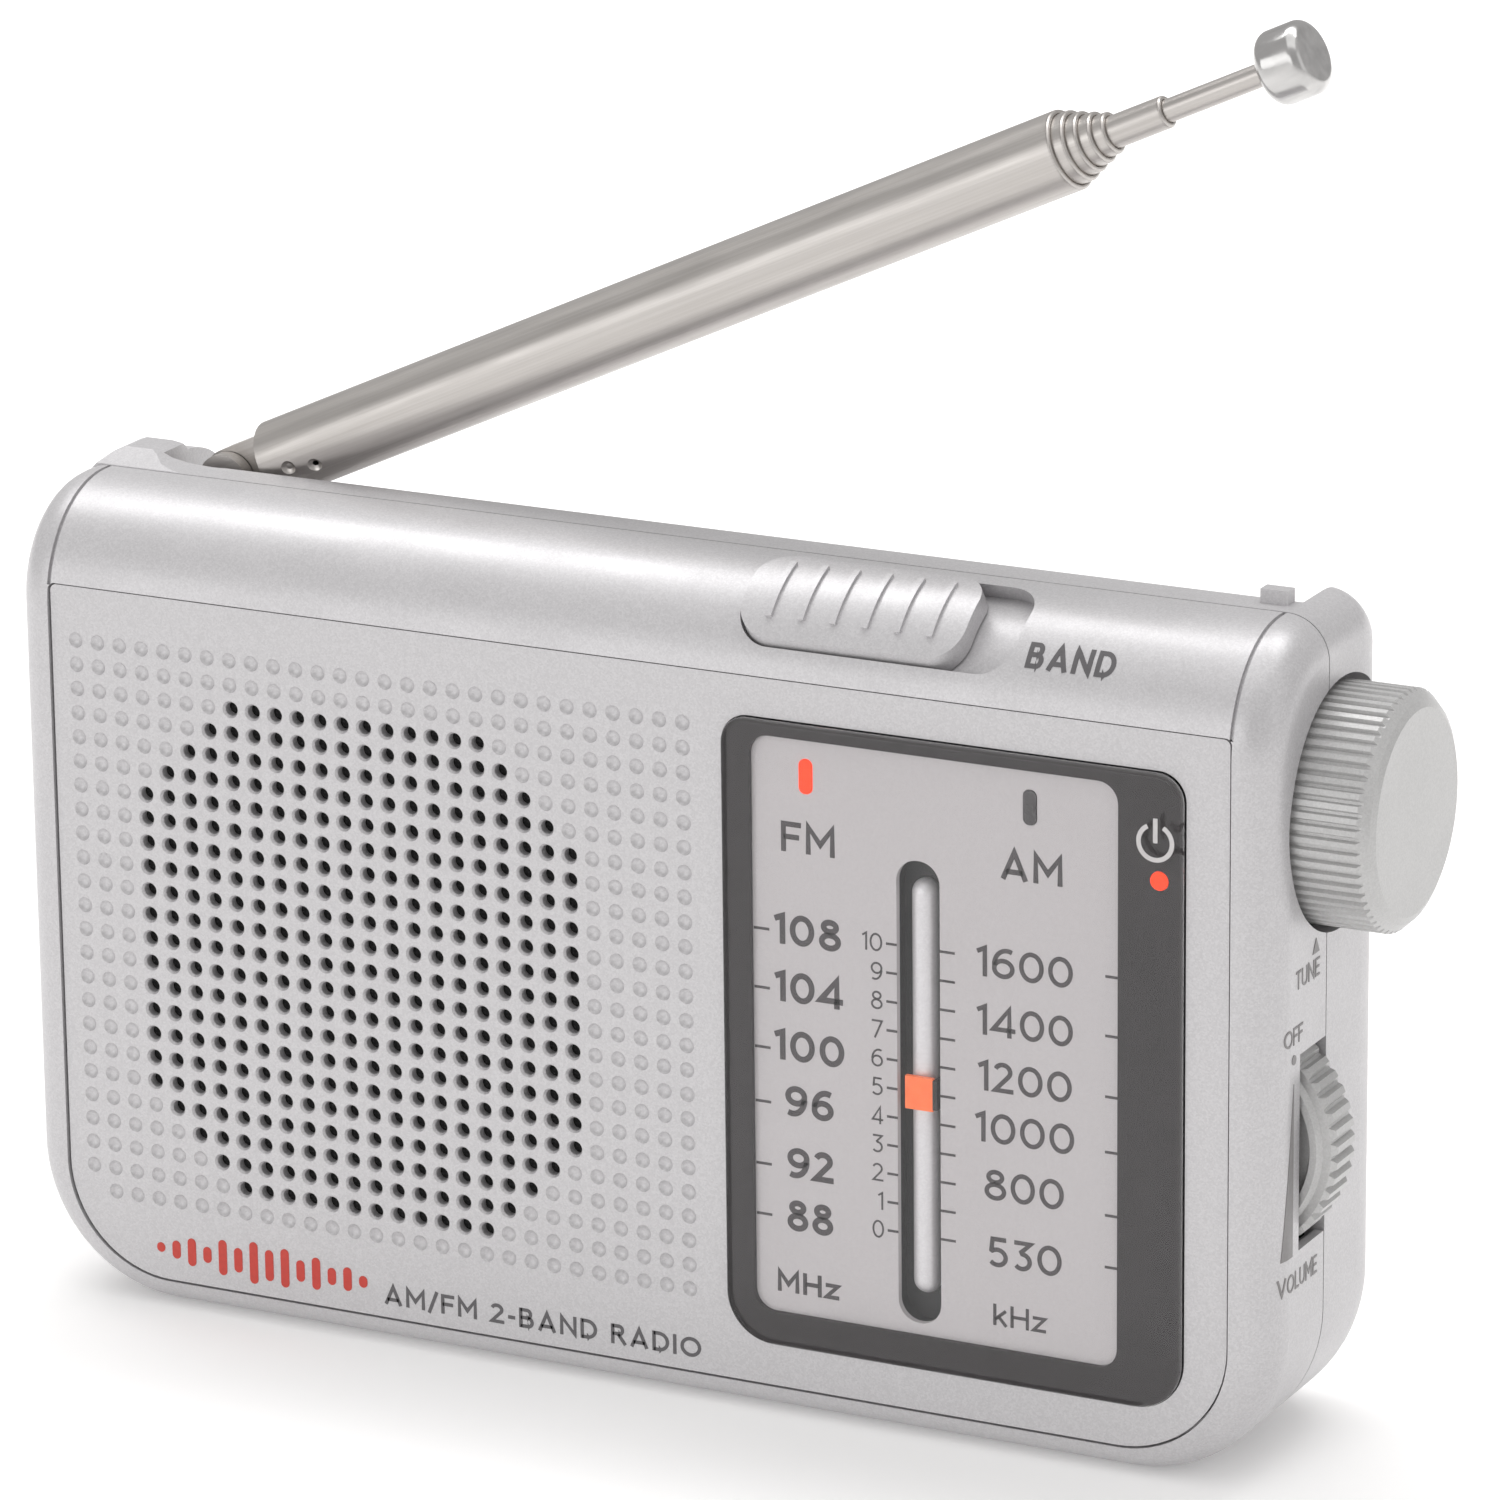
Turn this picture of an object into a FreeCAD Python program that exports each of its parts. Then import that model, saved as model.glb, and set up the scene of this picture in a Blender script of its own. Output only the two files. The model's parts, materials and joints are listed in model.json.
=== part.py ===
import FreeCAD, Part
import Sketcher
import math
import os
import re
from FreeCAD import Placement, Rotation, Vector

# Pocket two-band radio, in millimetres.
# X runs to the right along the front, Y runs from the front (grille) to the back, Z is up.
# The origin is the middle of the base, on the surface that the radio stands on.
# A depth means the distance behind the front plane, and deep() turns it into Y.

doc = FreeCAD.newDocument("pocket_radio")
sheet = doc.addObject("Spreadsheet::Sheet", "Sizes")

SIZES = {
    # cabinet
    "body_width": 120.0, "body_depth": 27.0, "body_base": 0.0, "body_top": 73.6,
    "wall": 1.8, "seam_depth": 11.0, "seam_gap": 0.15,
    "front_edge_round": 3.8, "brow_round": 10.0, "base_corner": 13.5, "back_round": 8.5,
    "front_wall_back": 2.45,
    # face panel and its grid of holes
    "panel_half": 55.95, "panel_low": 2.7, "panel_high": 65.6, "panel_gap": 0.2,
    "panel_front": 0.25, "panel_back": 1.25, "panel_base_corner": 10.0,
    "grid_pitch": 2.2, "grid_left": -53.53, "grid_top": 60.78,
    "dish_radius": 0.7, "dish_depth": 0.36, "hole_radius": 0.6, "hole_mouth": 0.75,
    # dial window
    "window_left": 9.6, "window_right": 52.0, "window_low": 6.5, "window_high": 62.1,
    "lens_proud": 0.4, "lens_sheet": 1.1,
    "scale_left": 12.0, "scale_right": 45.9, "scale_low": 9.3, "scale_high": 60.6,
    "lamp_z": 57.3, "fm_lamp_x": 17.05, "am_lamp_x": 37.7, "power_lamp_x": 49.6, "power_lamp_z": 52.7,
    "slot_x": 27.41, "slot_half": 2.0, "slot_low": 10.3, "slot_high": 51.3,
    "rail_half": 1.2, "rail_low": 12.6, "rail_high": 49.4,
    "pointer_z": 30.9, "pointer_travel": 12.8,
    # tuning
    "tune_depth": 14.0, "tune_z": 57.0, "knob_radius": 10.25, "knob_out": 66.7,
    "knob_base": 57.4, "knob_gap": 0.6, "shaft_radius": 1.5,
    "gear_module": 0.5, "gear_teeth": 29, "gear_left": 39.0, "gear_right": 43.7,
    "rack_right": 41.3, "knob_gear_left": 41.6,
    # volume
    "volume_x": 52.5, "volume_z": 29.0, "volume_radius": 10.5,
    "volume_front": 6.0, "volume_back": 10.8,
    # band slider
    "band_left": 10.2, "band_right": 35.7, "band_low_angle": 26.7, "band_high_angle": 82.8,
    "band_floor": 8.6, "band_knob": 20.7, "band_knob_top": 10.75,
    # speaker
    "speaker_x": -26.0, "speaker_z": 34.4,
    # batteries (two size AA cells, one above the other)
    "cell_radius": 7.15, "cell_length": 50.0, "cell_left": -14.2, "cell_depth": 17.8,
    "cell_low_z": 17.0, "cell_pitch": 14.9,
    "door_left": -17.0, "door_right": 37.0, "door_low": 9.2, "door_high": 39.6,
    "door_gap": 0.3,
    # antenna
    "pivot_x": -47.5, "pivot_depth": 18.5, "pivot_z": 71.9, "rest_tilt": 24.5,
    "trough_radius": 4.1, "trough_left": -52.6, "trough_right": 56.2,
    "mast_start": 4.6, "mast_end": 88.6, "mast_wall": 0.3,
    # earphone jack
    "jack_depth": 16.0, "jack_z": 47.4, "jack_bore": 1.8, "jack_nose": 3.1, "jack_length": 13.0,
}
for row, (alias, value) in enumerate(SIZES.items(), 1):
    sheet.set(f"A{row}", alias)
    sheet.set(f"B{row}", str(value))
    sheet.setAlias(f"B{row}", alias)
doc.recompute()

FRONT = "(-body_depth / 2)"
parts = {}


def size(alias):
    return float(sheet.get(alias))


def cells(text):
    """Turn each alias in a formula into a reference to its cell."""
    return re.sub(r"\b([a-z]+(?:_[a-z]+)*)\b", lambda m: "Sizes." + m[1] if m[1] in SIZES else m[1], str(text))


def value(text):
    """The same formula as a plain number, for the sketches' and wires' own points."""
    return float(eval_formula(str(text)))


def eval_formula(text):
    probe = doc.getObject("Probe") or doc.addObject("App::FeaturePython", "Probe")
    if "Result" not in probe.PropertiesList:
        probe.addProperty("App::PropertyFloat", "Result")
    probe.setExpression("Result", cells(text))
    probe.recompute()
    return probe.Result


def bind(thing, **formulas):
    for prop, text in formulas.items():
        thing.setExpression(prop.replace("__", "."), cells(text))
    return thing


def deep(text):
    """The Y of a depth behind the front plane."""
    return f"({FRONT} + {text})"


def box(x0, x1, y0, y1, z0, z1):
    thing = doc.addObject("Part::Box", "block")
    return bind(thing, Length=f"({x1}) - ({x0})", Width=f"({y1}) - ({y0})", Height=f"({z1}) - ({z0})",
                Placement__Base__x=x0, Placement__Base__y=y0, Placement__Base__z=z0)


TURNS = {"X": Rotation(Vector(0, 1, 0), 90), "Y": Rotation(Vector(1, 0, 0), -90), "Z": Rotation()}


def rod(axis, radius, start, end, first, second):
    """A cylinder along an axis; first and second are its centre on the other two axes, in order."""
    thing = doc.addObject("Part::Cylinder", "rod")
    thing.Placement = Placement(Vector(), TURNS[axis])
    where = {"X": (start, first, second), "Y": (first, start, second), "Z": (first, second, start)}[axis]
    return bind(thing, Radius=radius, Height=f"({end}) - ({start})", Placement__Base__x=where[0],
                Placement__Base__y=where[1], Placement__Base__z=where[2])


def fuse(*things):
    if len(things) == 1:
        return things[0]
    joined = doc.addObject("Part::MultiFuse", "joined")
    joined.Shapes = list(things)
    joined.Refine = True
    return joined


def cut(base, *tools):
    left = doc.addObject("Part::Cut", "cut")
    left.Base = base
    left.Tool = fuse(*tools)
    left.Refine = True
    return left


def common(first, second):
    shared = doc.addObject("Part::Common", "shared")
    shared.Base = first
    shared.Tool = second
    return shared


def node(label, thing):
    thing.Label = label
    parts[label] = thing
    return thing


def plane(body, role):
    return next(f for f in body.Origin.OriginFeatures if f.Role == role)


def sketch_on(body, role, edges):
    sketch = body.newObject("Sketcher::SketchObject", "profile")
    sketch.AttachmentSupport = (plane(body, role), [""])
    sketch.MapMode = "FlatFace"
    sketch.addGeometry(edges, False)
    return sketch


def polyline(points):
    corners = [Vector(*p, 0) for p in points]
    return [Part.LineSegment(a, b) for a, b in zip(corners, corners[1:] + corners[:1])]


def edges_where(shape, test):
    return [f"Edge{i}" for i, e in enumerate(shape.Edges, 1) if test(e)]


def round_edges(body, test, radius):
    """Fillet the body's edges that pass the test."""
    doc.recompute()
    tip = body.Tip
    names = edges_where(tip.Shape, test)
    if not names:
        raise RuntimeError("no edge to round")
    fillet = body.newObject("PartDesign::Fillet", "round")
    fillet.Base = (tip, names)
    body.Tip = fillet
    return bind(fillet, Radius=radius)


def along_y(edge):
    a, b = edge.Vertexes[0].Point, edge.Vertexes[-1].Point
    return abs(a.x - b.x) < 1e-6 and abs(a.z - b.z) < 1e-6 and abs(a.y - b.y) > 1e-6


def slab(x0, x1, y0, y1, z0, z1, low_corner=0, high_corner=0, lip=0):
    """An upright plate, with its corners rounded in the front view, and its front edge if asked."""
    body = doc.addObject("PartDesign::Body", "plate")
    sketch = sketch_on(body, "XZ_Plane", polyline([(0, 0), (1, 0), (1, 1), (0, 1)]))
    rules = [("Coincident", 0, 2, 1, 1), ("Coincident", 1, 2, 2, 1), ("Coincident", 2, 2, 3, 1),
             ("Coincident", 3, 2, 0, 1), ("Horizontal", 0), ("Vertical", 1), ("Horizontal", 2), ("Vertical", 3),
             ("Coincident", 0, 1, -1, 1)]
    sketch.addConstraint([Sketcher.Constraint(*rule) for rule in rules])
    wide = sketch.addConstraint(Sketcher.Constraint("DistanceX", 0, 1, 0, 2, 1.0))
    tall = sketch.addConstraint(Sketcher.Constraint("DistanceY", 1, 1, 1, 2, 1.0))
    bind(sketch, **{f"Constraints[{wide}]": f"({x1}) - ({x0})", f"Constraints[{tall}]": f"({z1}) - ({z0})"})
    pad = body.newObject("PartDesign::Pad", "pad")
    pad.Profile = sketch
    pad.Reversed = True
    bind(pad, Length=f"({y1}) - ({y0})")
    doc.recompute()
    middle = (value(z1) - value(z0)) / 2
    if low_corner:
        round_edges(body, lambda e: along_y(e) and e.Vertexes[0].Z < middle, low_corner)
    if high_corner:
        round_edges(body, lambda e: along_y(e) and e.Vertexes[0].Z > middle and at_corner(e, body), high_corner)
    if lip:
        round_edges(body, lambda e: all(abs(v.Y) < 1e-6 for v in e.Vertexes) and not along_y(e), lip)
    return bind(body, Placement__Base__x=x0, Placement__Base__y=y0, Placement__Base__z=z0)


def at_corner(edge, body):
    """Whether an edge is one of the plate's top corners, not a seam beside a lower round."""
    bounds = body.Shape.BoundBox
    point = edge.Vertexes[0]
    return abs(point.Z - bounds.ZMax) < 1e-6 and min(abs(point.X - bounds.XMin), abs(point.X - bounds.XMax)) < 1e-6


def turned(axis, start, first, second, profile):
    """A body of revolution; the profile is (distance along the axis from start, radius) pairs."""
    body = doc.addObject("PartDesign::Body", "turning")
    sketch = sketch_on(body, "XZ_Plane", polyline([(r, along) for along, r in profile]))
    spin = body.newObject("PartDesign::Revolution", "spin")
    spin.Profile = sketch
    spin.ReferenceAxis = (sketch, ["V_Axis"])
    spin.Angle = 360
    where = {"X": (start, first, second), "Y": (first, start, second), "Z": (first, second, start)}[axis]
    body.Placement = Placement(Vector(), TURNS[axis])
    return bind(body, Placement__Base__x=where[0], Placement__Base__y=where[1], Placement__Base__z=where[2])


def prism(points, axis, start, end, first=0, second=0):
    """A closed outline drawn across an axis, padded along it. Points are on the other two axes, in order."""
    body = doc.addObject("PartDesign::Body", "prism")
    role = {"X": "YZ_Plane", "Y": "XZ_Plane", "Z": "XY_Plane"}[axis]
    sketch = sketch_on(body, role, polyline(points))
    pad = body.newObject("PartDesign::Pad", "pad")
    pad.Profile = sketch
    pad.Reversed = axis == "Y"
    bind(pad, Length=f"({end}) - ({start})")
    where = {"X": (start, first, second), "Y": (first, start, second), "Z": (first, second, start)}[axis]
    return bind(body, Placement__Base__x=where[0], Placement__Base__y=where[1], Placement__Base__z=where[2])


def shaped(shape):
    """A shape that Part's own functions make, kept as an object of the document."""
    thing = doc.addObject("Part::Feature", "form")
    thing.Shape = shape
    return thing


# Cabinet blocks: the outside, and the same shape set in by the wall for the inside.

FRONT_Y = value(FRONT)
SEAM_Y = value(deep("seam_depth"))
BASE, TOP = size("body_base"), size("body_top")
HALF = size("body_width") / 2
WALL = size("wall")
BROW = size("brow_round")


def front_block(inset, front_inset, rounded):
    """The front half of the cabinet: a side profile with a rounded brow, drawn along X."""
    body = doc.addObject("PartDesign::Body", "front_block")
    low, high, near = BASE + inset, TOP - inset, FRONT_Y + front_inset
    centre = Vector(FRONT_Y + BROW, TOP - BROW, 0)
    radius = BROW - inset
    start = math.acos((BROW - front_inset) / radius)
    top_point = Vector(centre.x, high, 0)
    near_point = Vector(near, centre.y + radius * math.sin(start), 0)
    middle = (math.pi - start + math.pi / 2) / 2
    bend = Vector(centre.x + radius * math.cos(middle), centre.y + radius * math.sin(middle), 0)
    back = SEAM_Y + (0 if rounded else 1)
    corners = [near_point, Vector(near, low, 0), Vector(back, low, 0), Vector(back, high, 0), top_point]
    edges = [Part.LineSegment(a, b) for a, b in zip(corners, corners[1:])]
    edges.append(Part.Arc(top_point, bend, near_point))
    sketch = sketch_on(body, "YZ_Plane", edges)
    pad = body.newObject("PartDesign::Pad", "pad")
    pad.Profile = sketch
    pad.Midplane = True
    bind(pad, Length=f"body_width - {2 * inset}")
    round_edges(body, lambda e: along_y(e) and abs(e.Vertexes[0].Z - low) < 1e-6, f"base_corner - {inset}")
    if rounded:
        round_edges(body, lambda e: all(abs(v.Y - near) < 1e-6 for v in e.Vertexes) and abs(
            abs(e.Vertexes[0].X) - HALF) < 1e-6 and abs(abs(e.Vertexes[-1].X) - HALF) < 1e-6, "front_edge_round")
    return body


def outline_wire(y, shrink, inset):
    """The cabinet's front-view outline at one depth, shrunk on all sides."""
    half, low, high = HALF - shrink - inset, BASE + shrink + inset, TOP - shrink - inset
    top_round = max(size("front_edge_round") - inset, 1.5) + 0.5 * shrink
    base_round = size("base_corner") - inset - 0.6 * shrink
    centres = [(half - top_round, high - top_round, top_round, 0), (top_round - half, high - top_round, top_round, 90),
               (base_round - half, low + base_round, base_round, 180),
               (half - base_round, low + base_round, base_round, 270)]
    arcs = []
    for x, z, radius, begin in centres:
        turn = [math.radians(begin + step) for step in (0, 45, 90)]
        arcs.append(Part.Arc(*[Vector(x + radius * math.cos(a), y, z + radius * math.sin(a)) for a in turn]).toShape())
    edges = []
    for arc, following in zip(arcs, arcs[1:] + arcs[:1]):
        edges += [arc, Part.LineSegment(arc.Vertexes[-1].Point, following.Vertexes[0].Point).toShape()]
    return Part.Wire(edges)


def back_block(inset):
    """The back half: a straight stretch behind the seam, then a pillow-shaped back."""
    radius = size("back_round") - inset
    straight_end = value(f"{FRONT} + body_depth - back_round")
    begin = SEAM_Y - (1 if inset else 0)
    straight = Part.Face(outline_wire(begin, 0, inset)).extrude(Vector(0, straight_end - begin, 0))
    steps = 9
    wires = []
    for step in range(steps + 1):
        angle = math.pi / 2 * step / steps
        wires.append(outline_wire(straight_end + radius * math.sin(angle), radius * (1 - math.cos(angle)), inset))
    pillow = Part.makeLoft(wires, True, False)
    return shaped(straight.fuse(pillow).removeSplitter())


SEAM = deep("seam_depth")
TUNE_Y = deep("tune_depth")
KNOB_HOLE = "knob_radius + knob_gap"


def knob_cup(y0, y1):
    """The stretch of the knob's cup that one cabinet half carries."""
    whole = rod("X", f"{KNOB_HOLE} + 1.2", "55.4", "body_width / 2", TUNE_Y, "tune_z")
    return common(whole, box("55", "body_width / 2", y0, y1, "40", "body_top"))


def knob_recess():
    return fuse(rod("X", KNOB_HOLE, "knob_base - 0.4", "body_width / 2 + 1", TUNE_Y, "tune_z"),
                rod("X", "shaft_radius + 0.4", "55", "knob_base", TUNE_Y, "tune_z"))


SCREWS = [(-54.3, 21.4), (-54.3, 55.4), (54.0, 12.4)]


def angle_ring(x0, x1, inner, outer, low, high):
    """A stretch of ring about the brow's centre line, between two angles up from the front."""
    def at(radius, degrees):
        a = math.radians(degrees)
        return (FRONT_Y + BROW - radius * math.cos(a), TOP - BROW + radius * math.sin(a))
    mid = (low + high) / 2
    points = [at(inner, low), at(outer, low), at(outer, mid), at(outer, high), at(inner, high), at(inner, mid)]
    flat = [Vector(x0, *p) for p in points]
    edges = [Part.LineSegment(flat[0], flat[1]), Part.Arc(flat[1], flat[2], flat[3]),
             Part.LineSegment(flat[3], flat[4]), Part.Arc(flat[4], flat[5], flat[0])]
    face = Part.Face(Part.Wire([e.toShape() for e in edges]))
    return face.extrude(Vector(x1 - x0, 0, 0))


def brow_prism(x0, x1, margin, corner):
    """A rounded rectangle over the brow, drawn square to the middle of the band slider's arc."""
    low, high = size("band_low_angle"), size("band_high_angle")
    mid = math.radians((low + high) / 2)
    chord = 2 * BROW * math.sin(math.radians((high - low) / 2)) - 2 * margin
    outward = Vector(0, -math.cos(mid), math.sin(mid))
    across = Vector(0, math.sin(mid), math.cos(mid))
    centre = Vector((x0 + x1) / 2, FRONT_Y + BROW, TOP - BROW)
    a, b = (x1 - x0) / 2, chord / 2
    right = Vector(1, 0, 0)

    def at(u, v):
        return centre + right * u + across * v + outward * 5
    edges = []
    corners = [(a - corner, b - corner, 0), (corner - a, b - corner, 90),
               (corner - a, corner - b, 180), (a - corner, corner - b, 270)]
    arcs = []
    for u, v, begin in corners:
        turn = [math.radians(begin + step) for step in (0, 45, 90)]
        arcs.append(Part.Arc(*[at(u + corner * math.cos(t), v + corner * math.sin(t)) for t in turn]).toShape())
    for arc, following in zip(arcs, arcs[1:] + arcs[:1]):
        edges += [arc, Part.LineSegment(arc.Vertexes[-1].Point, following.Vertexes[0].Point).toShape()]
    return Part.Face(Part.Wire(edges)).extrude(outward * 9)


# Front cabinet

def front_cabinet():
    outer = front_block(0, 0, True)
    shell = cut(outer, front_block(WALL, size("front_wall_back"), False))
    posts = [rod("Y", "2.6", deep("2"), deep("seam_depth - 0.2"), x, z) for x, z in SCREWS]
    inside = common(front_block(0, 0, True), fuse(knob_cup(deep("0"), SEAM), *posts))
    low, high = size("band_low_angle"), size("band_high_angle")
    floor = Part.makeCylinder(size("band_floor"), 60, Vector(0, FRONT_Y + BROW, TOP - BROW), Vector(1, 0, 0))
    recess = brow_prism(size("band_left"), size("band_right"), 0, 3.2).cut(floor)
    floor_pad = angle_ring(9, 37, 6.9, 8.6, low - 4, high + 4)
    tools = [
        slab("-panel_half - panel_gap", "panel_half + panel_gap", deep("-1"), deep("panel_back"),
             "panel_low - panel_gap", "panel_high + panel_gap / 2", "panel_base_corner + panel_gap", 0.6),
        slab("window_left + 1.4", "window_right - 1.4", deep("0"), deep("4"), "window_low + 1.4",
             "window_high - 1.4", 3, 1.5),
        rod("Y", "25.9", deep("0"), deep("4"), "speaker_x", "speaker_z"),
        knob_recess(),
        box("54", "61", deep("5.7"), deep("12"), "volume_z - 8.6", "volume_z + 8.6"),
        box("54", "59.2", deep("5.7"), deep("12"), "volume_z - 9.3", "volume_z + 9.3"),
        box("18.2", "27", deep("6.4"), deep("9.6"), "body_top - 6.2", "body_top + 2"),
        shaped(recess),
    ]
    tools += [rod("Y", "1.0", deep("4"), deep("12"), x, z) for x, z in SCREWS]
    for side in (-1, 1):
        x = side * (size("panel_half") + size("panel_gap") / 2)
        groove = angle_ring(x - 0.18, x + 0.18, BROW - 0.35, BROW + 1, 11, 90)
        flat = Part.makeBox(0.36, 2, 1.35, Vector(x - 0.18, FRONT_Y + BROW, TOP - 0.35))
        tools.append(shaped(groove.fuse(flat)))
    return node("front_cabinet", cut(fuse(shell, inside, shaped(floor_pad)), *tools))


# Back cabinet

def antenna_trough():
    """The open ledge that the folded antenna lies on: a quarter round in front and a floor behind."""
    y = deep("pivot_depth")
    floor = "pivot_z - trough_radius"
    quarter = rod("X", "trough_radius", "trough_left", "trough_right", y, "pivot_z")
    front = box("trough_left", "trough_right", deep("pivot_depth - trough_radius"), y, "pivot_z", "90")
    behind = box("trough_left", "trough_right", y, "40", floor, "90")
    well = rod("Z", "trough_radius + 0.15", floor, "90", "pivot_x", y)
    return fuse(quarter, front, behind, well)


def antenna_hump():
    """The low hump beside the antenna's foot: it rises behind the seam and ramps down to the right."""
    rise = [(-58.2, -3), (-58.2, -0.6), (-57.0, 0.7), (-56.2, 1.0), (-53.6, 1.0), (-52.8, 0.8),
            (-51.6, 0.35), (-50.2, 0.1), (-49.0, 0), (-49.0, -3)]
    across = prism([(x, TOP + z) for x, z in rise], "Y", deep("11.3"), deep("20"))
    side = [(11.3, -3), (11.3, 0.02), (14.4, 1.1), (17.5, 1.1), (20, -1.5), (20, -3)]
    along = prism([(FRONT_Y + y, TOP + z) for y, z in side], "X", "-59", "-48")
    return common(across, along)


def back_cabinet():
    back = deep("body_depth")
    outer = back_block(0)
    shell = cut(outer, back_block(WALL))
    inner_back = deep("body_depth - wall")
    low, high = "cell_low_z - cell_radius - 1.3", "cell_low_z + cell_pitch + cell_radius + 1.3"
    left, right = "cell_left - 4.3", "cell_left + cell_length + 2.2"
    cell_box = box(left, right, SEAM, back, low, high)
    liner = box("-61", "61", deep("12.6"), "40", "pivot_z - trough_radius - wall", "90")
    posts = [rod("Y", "3.5", deep("seam_depth + 0.1"), back, x, z) for x, z in SCREWS]
    inside = common(back_block(0), fuse(cell_box, liner, knob_cup(SEAM, "40"), *posts))
    nub = box("53.0", "55.5", deep("12.9"), deep("14.3"), "body_top - 1", "body_top + 1.2")
    swivel_y = deep("pivot_depth")
    tools = [
        antenna_trough(), knob_recess(),
        box(f"({left}) + 1.2", f"({right}) - 1.2", SEAM + " - 1", inner_back, f"({low}) + 1", f"({high}) - 1"),
        box("door_left - door_gap", "door_right + door_gap", deep("body_depth - wall - 1"), "40",
            "door_low - door_gap", "door_high + door_gap"),
        rod("X", "0.55", "door_left - 1.3", "door_right + 1.3", deep("body_depth - wall / 2"), "door_low + wall / 2"),
        rod("Z", "2.06", "60", "70", "pivot_x", swivel_y),
        rod("X", "jack_nose + 0.05", "-61", "-57", deep("jack_depth"), "jack_z"),
    ]
    for x, z in SCREWS:
        tools.append(rod("Y", "2.4", deep("17"), "40", x, z))
        tools.append(rod("Y", "1.35", deep("10"), deep("18"), x, z))
    body = cut(fuse(shell, inside, antenna_hump()), *tools)
    trimmed = cut(body, box("-61", "61", "-30", f"{SEAM} + seam_gap", "-1", "80"))
    return node("back_cabinet", fuse(trimmed, nub))


def cell_cover():
    """The moulded floor that closes the battery box towards the front."""
    low, high = "cell_low_z - cell_radius - 1.3", "cell_low_z + cell_pitch + cell_radius + 1.3"
    left, right = "cell_left - 4.3", "cell_left + cell_length + 2.2"
    block = box(left, right, deep("9.3"), f"{SEAM} + seam_gap", low, high)
    hollow = box(f"({left}) + 1.2", f"({right}) - 1.2", deep("10.4"), deep("12"), f"({low}) + 1", f"({high}) - 1")
    return node("battery_box_floor", cut(block, hollow))


def battery_door():
    """The rear door: it swings on two stub pins at its lower edge and snaps shut at the top."""
    sheet_y = deep("body_depth - wall")
    plate = box("door_left", "door_right", sheet_y, deep("body_depth"), "door_low + wall / 2", "door_high")
    edge = rod("X", "wall / 2", "door_left", "door_right", deep("body_depth - wall / 2"), "door_low + wall / 2")
    pins = rod("X", "0.5", "door_left - 1.2", "door_right + 1.2", deep("body_depth - wall / 2"), "door_low + wall / 2")
    grips = [box("10 - 7", "10 + 7", deep("body_depth - 0.4"), deep("body_depth + 0.4"), 31.4 + 1.6 * i,
                 32.1 + 1.6 * i) for i in range(4)]
    return node("battery_door", fuse(plate, edge, pins, *grips))


# Face panel with its grid of dishes and open holes

HOLE_COLUMNS = {2: (7, 18), 3: (6, 19), 4: (5, 20), 5: (4, 21), 19: (4, 21), 20: (5, 20), 21: (6, 19), 22: (7, 18)}
HOLE_COLUMNS.update({row: (3, 22) for row in range(6, 19)})
GRID_COLUMNS, GRID_ROWS = 28, 24


def face_panel():
    near, back = FRONT_Y + size("panel_front"), FRONT_Y + size("panel_back")
    rim, depth = size("dish_radius"), size("dish_depth")
    ball = (rim ** 2 + depth ** 2) / (2 * depth)
    mouth, bore = size("hole_mouth"), size("hole_radius")
    toward_back = Vector(0, 1, 0)
    dishes = []
    for row in range(GRID_ROWS):
        for column in range(GRID_COLUMNS):
            if (row, column) == (GRID_ROWS - 1, 0):
                continue
            x = size("grid_left") + column * size("grid_pitch")
            z = size("grid_top") - row * size("grid_pitch")
            first, last = HOLE_COLUMNS.get(row, (1, 0))
            if first <= column <= last:
                start = Vector(x, near - 0.2, z)
                cone = Part.makeCone(mouth + 0.15, bore, 0.45, start, toward_back)
                dishes.append(cone.fuse(Part.makeCylinder(bore, back - near + 1, start, toward_back)))
            else:
                dishes.append(Part.makeSphere(ball, Vector(x, near - ball + depth, z)))
    plate = slab("-panel_half", "panel_half", deep("panel_front"), deep("panel_back"), "panel_low", "panel_high",
                 "panel_base_corner", 0.6)
    window = slab("window_left - 0.1", "window_right + 0.1", deep("0"), deep("2"), "window_low - 0.1",
                  "window_high + 0.1", 4.5, 2.5)
    framed = cut(plate, window)
    grille = doc.addObject("Part::Cut", "grille")
    grille.Base = framed
    grille.Tool = shaped(Part.makeCompound(dishes))
    return node("face_panel", grille)


# Dial

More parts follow.
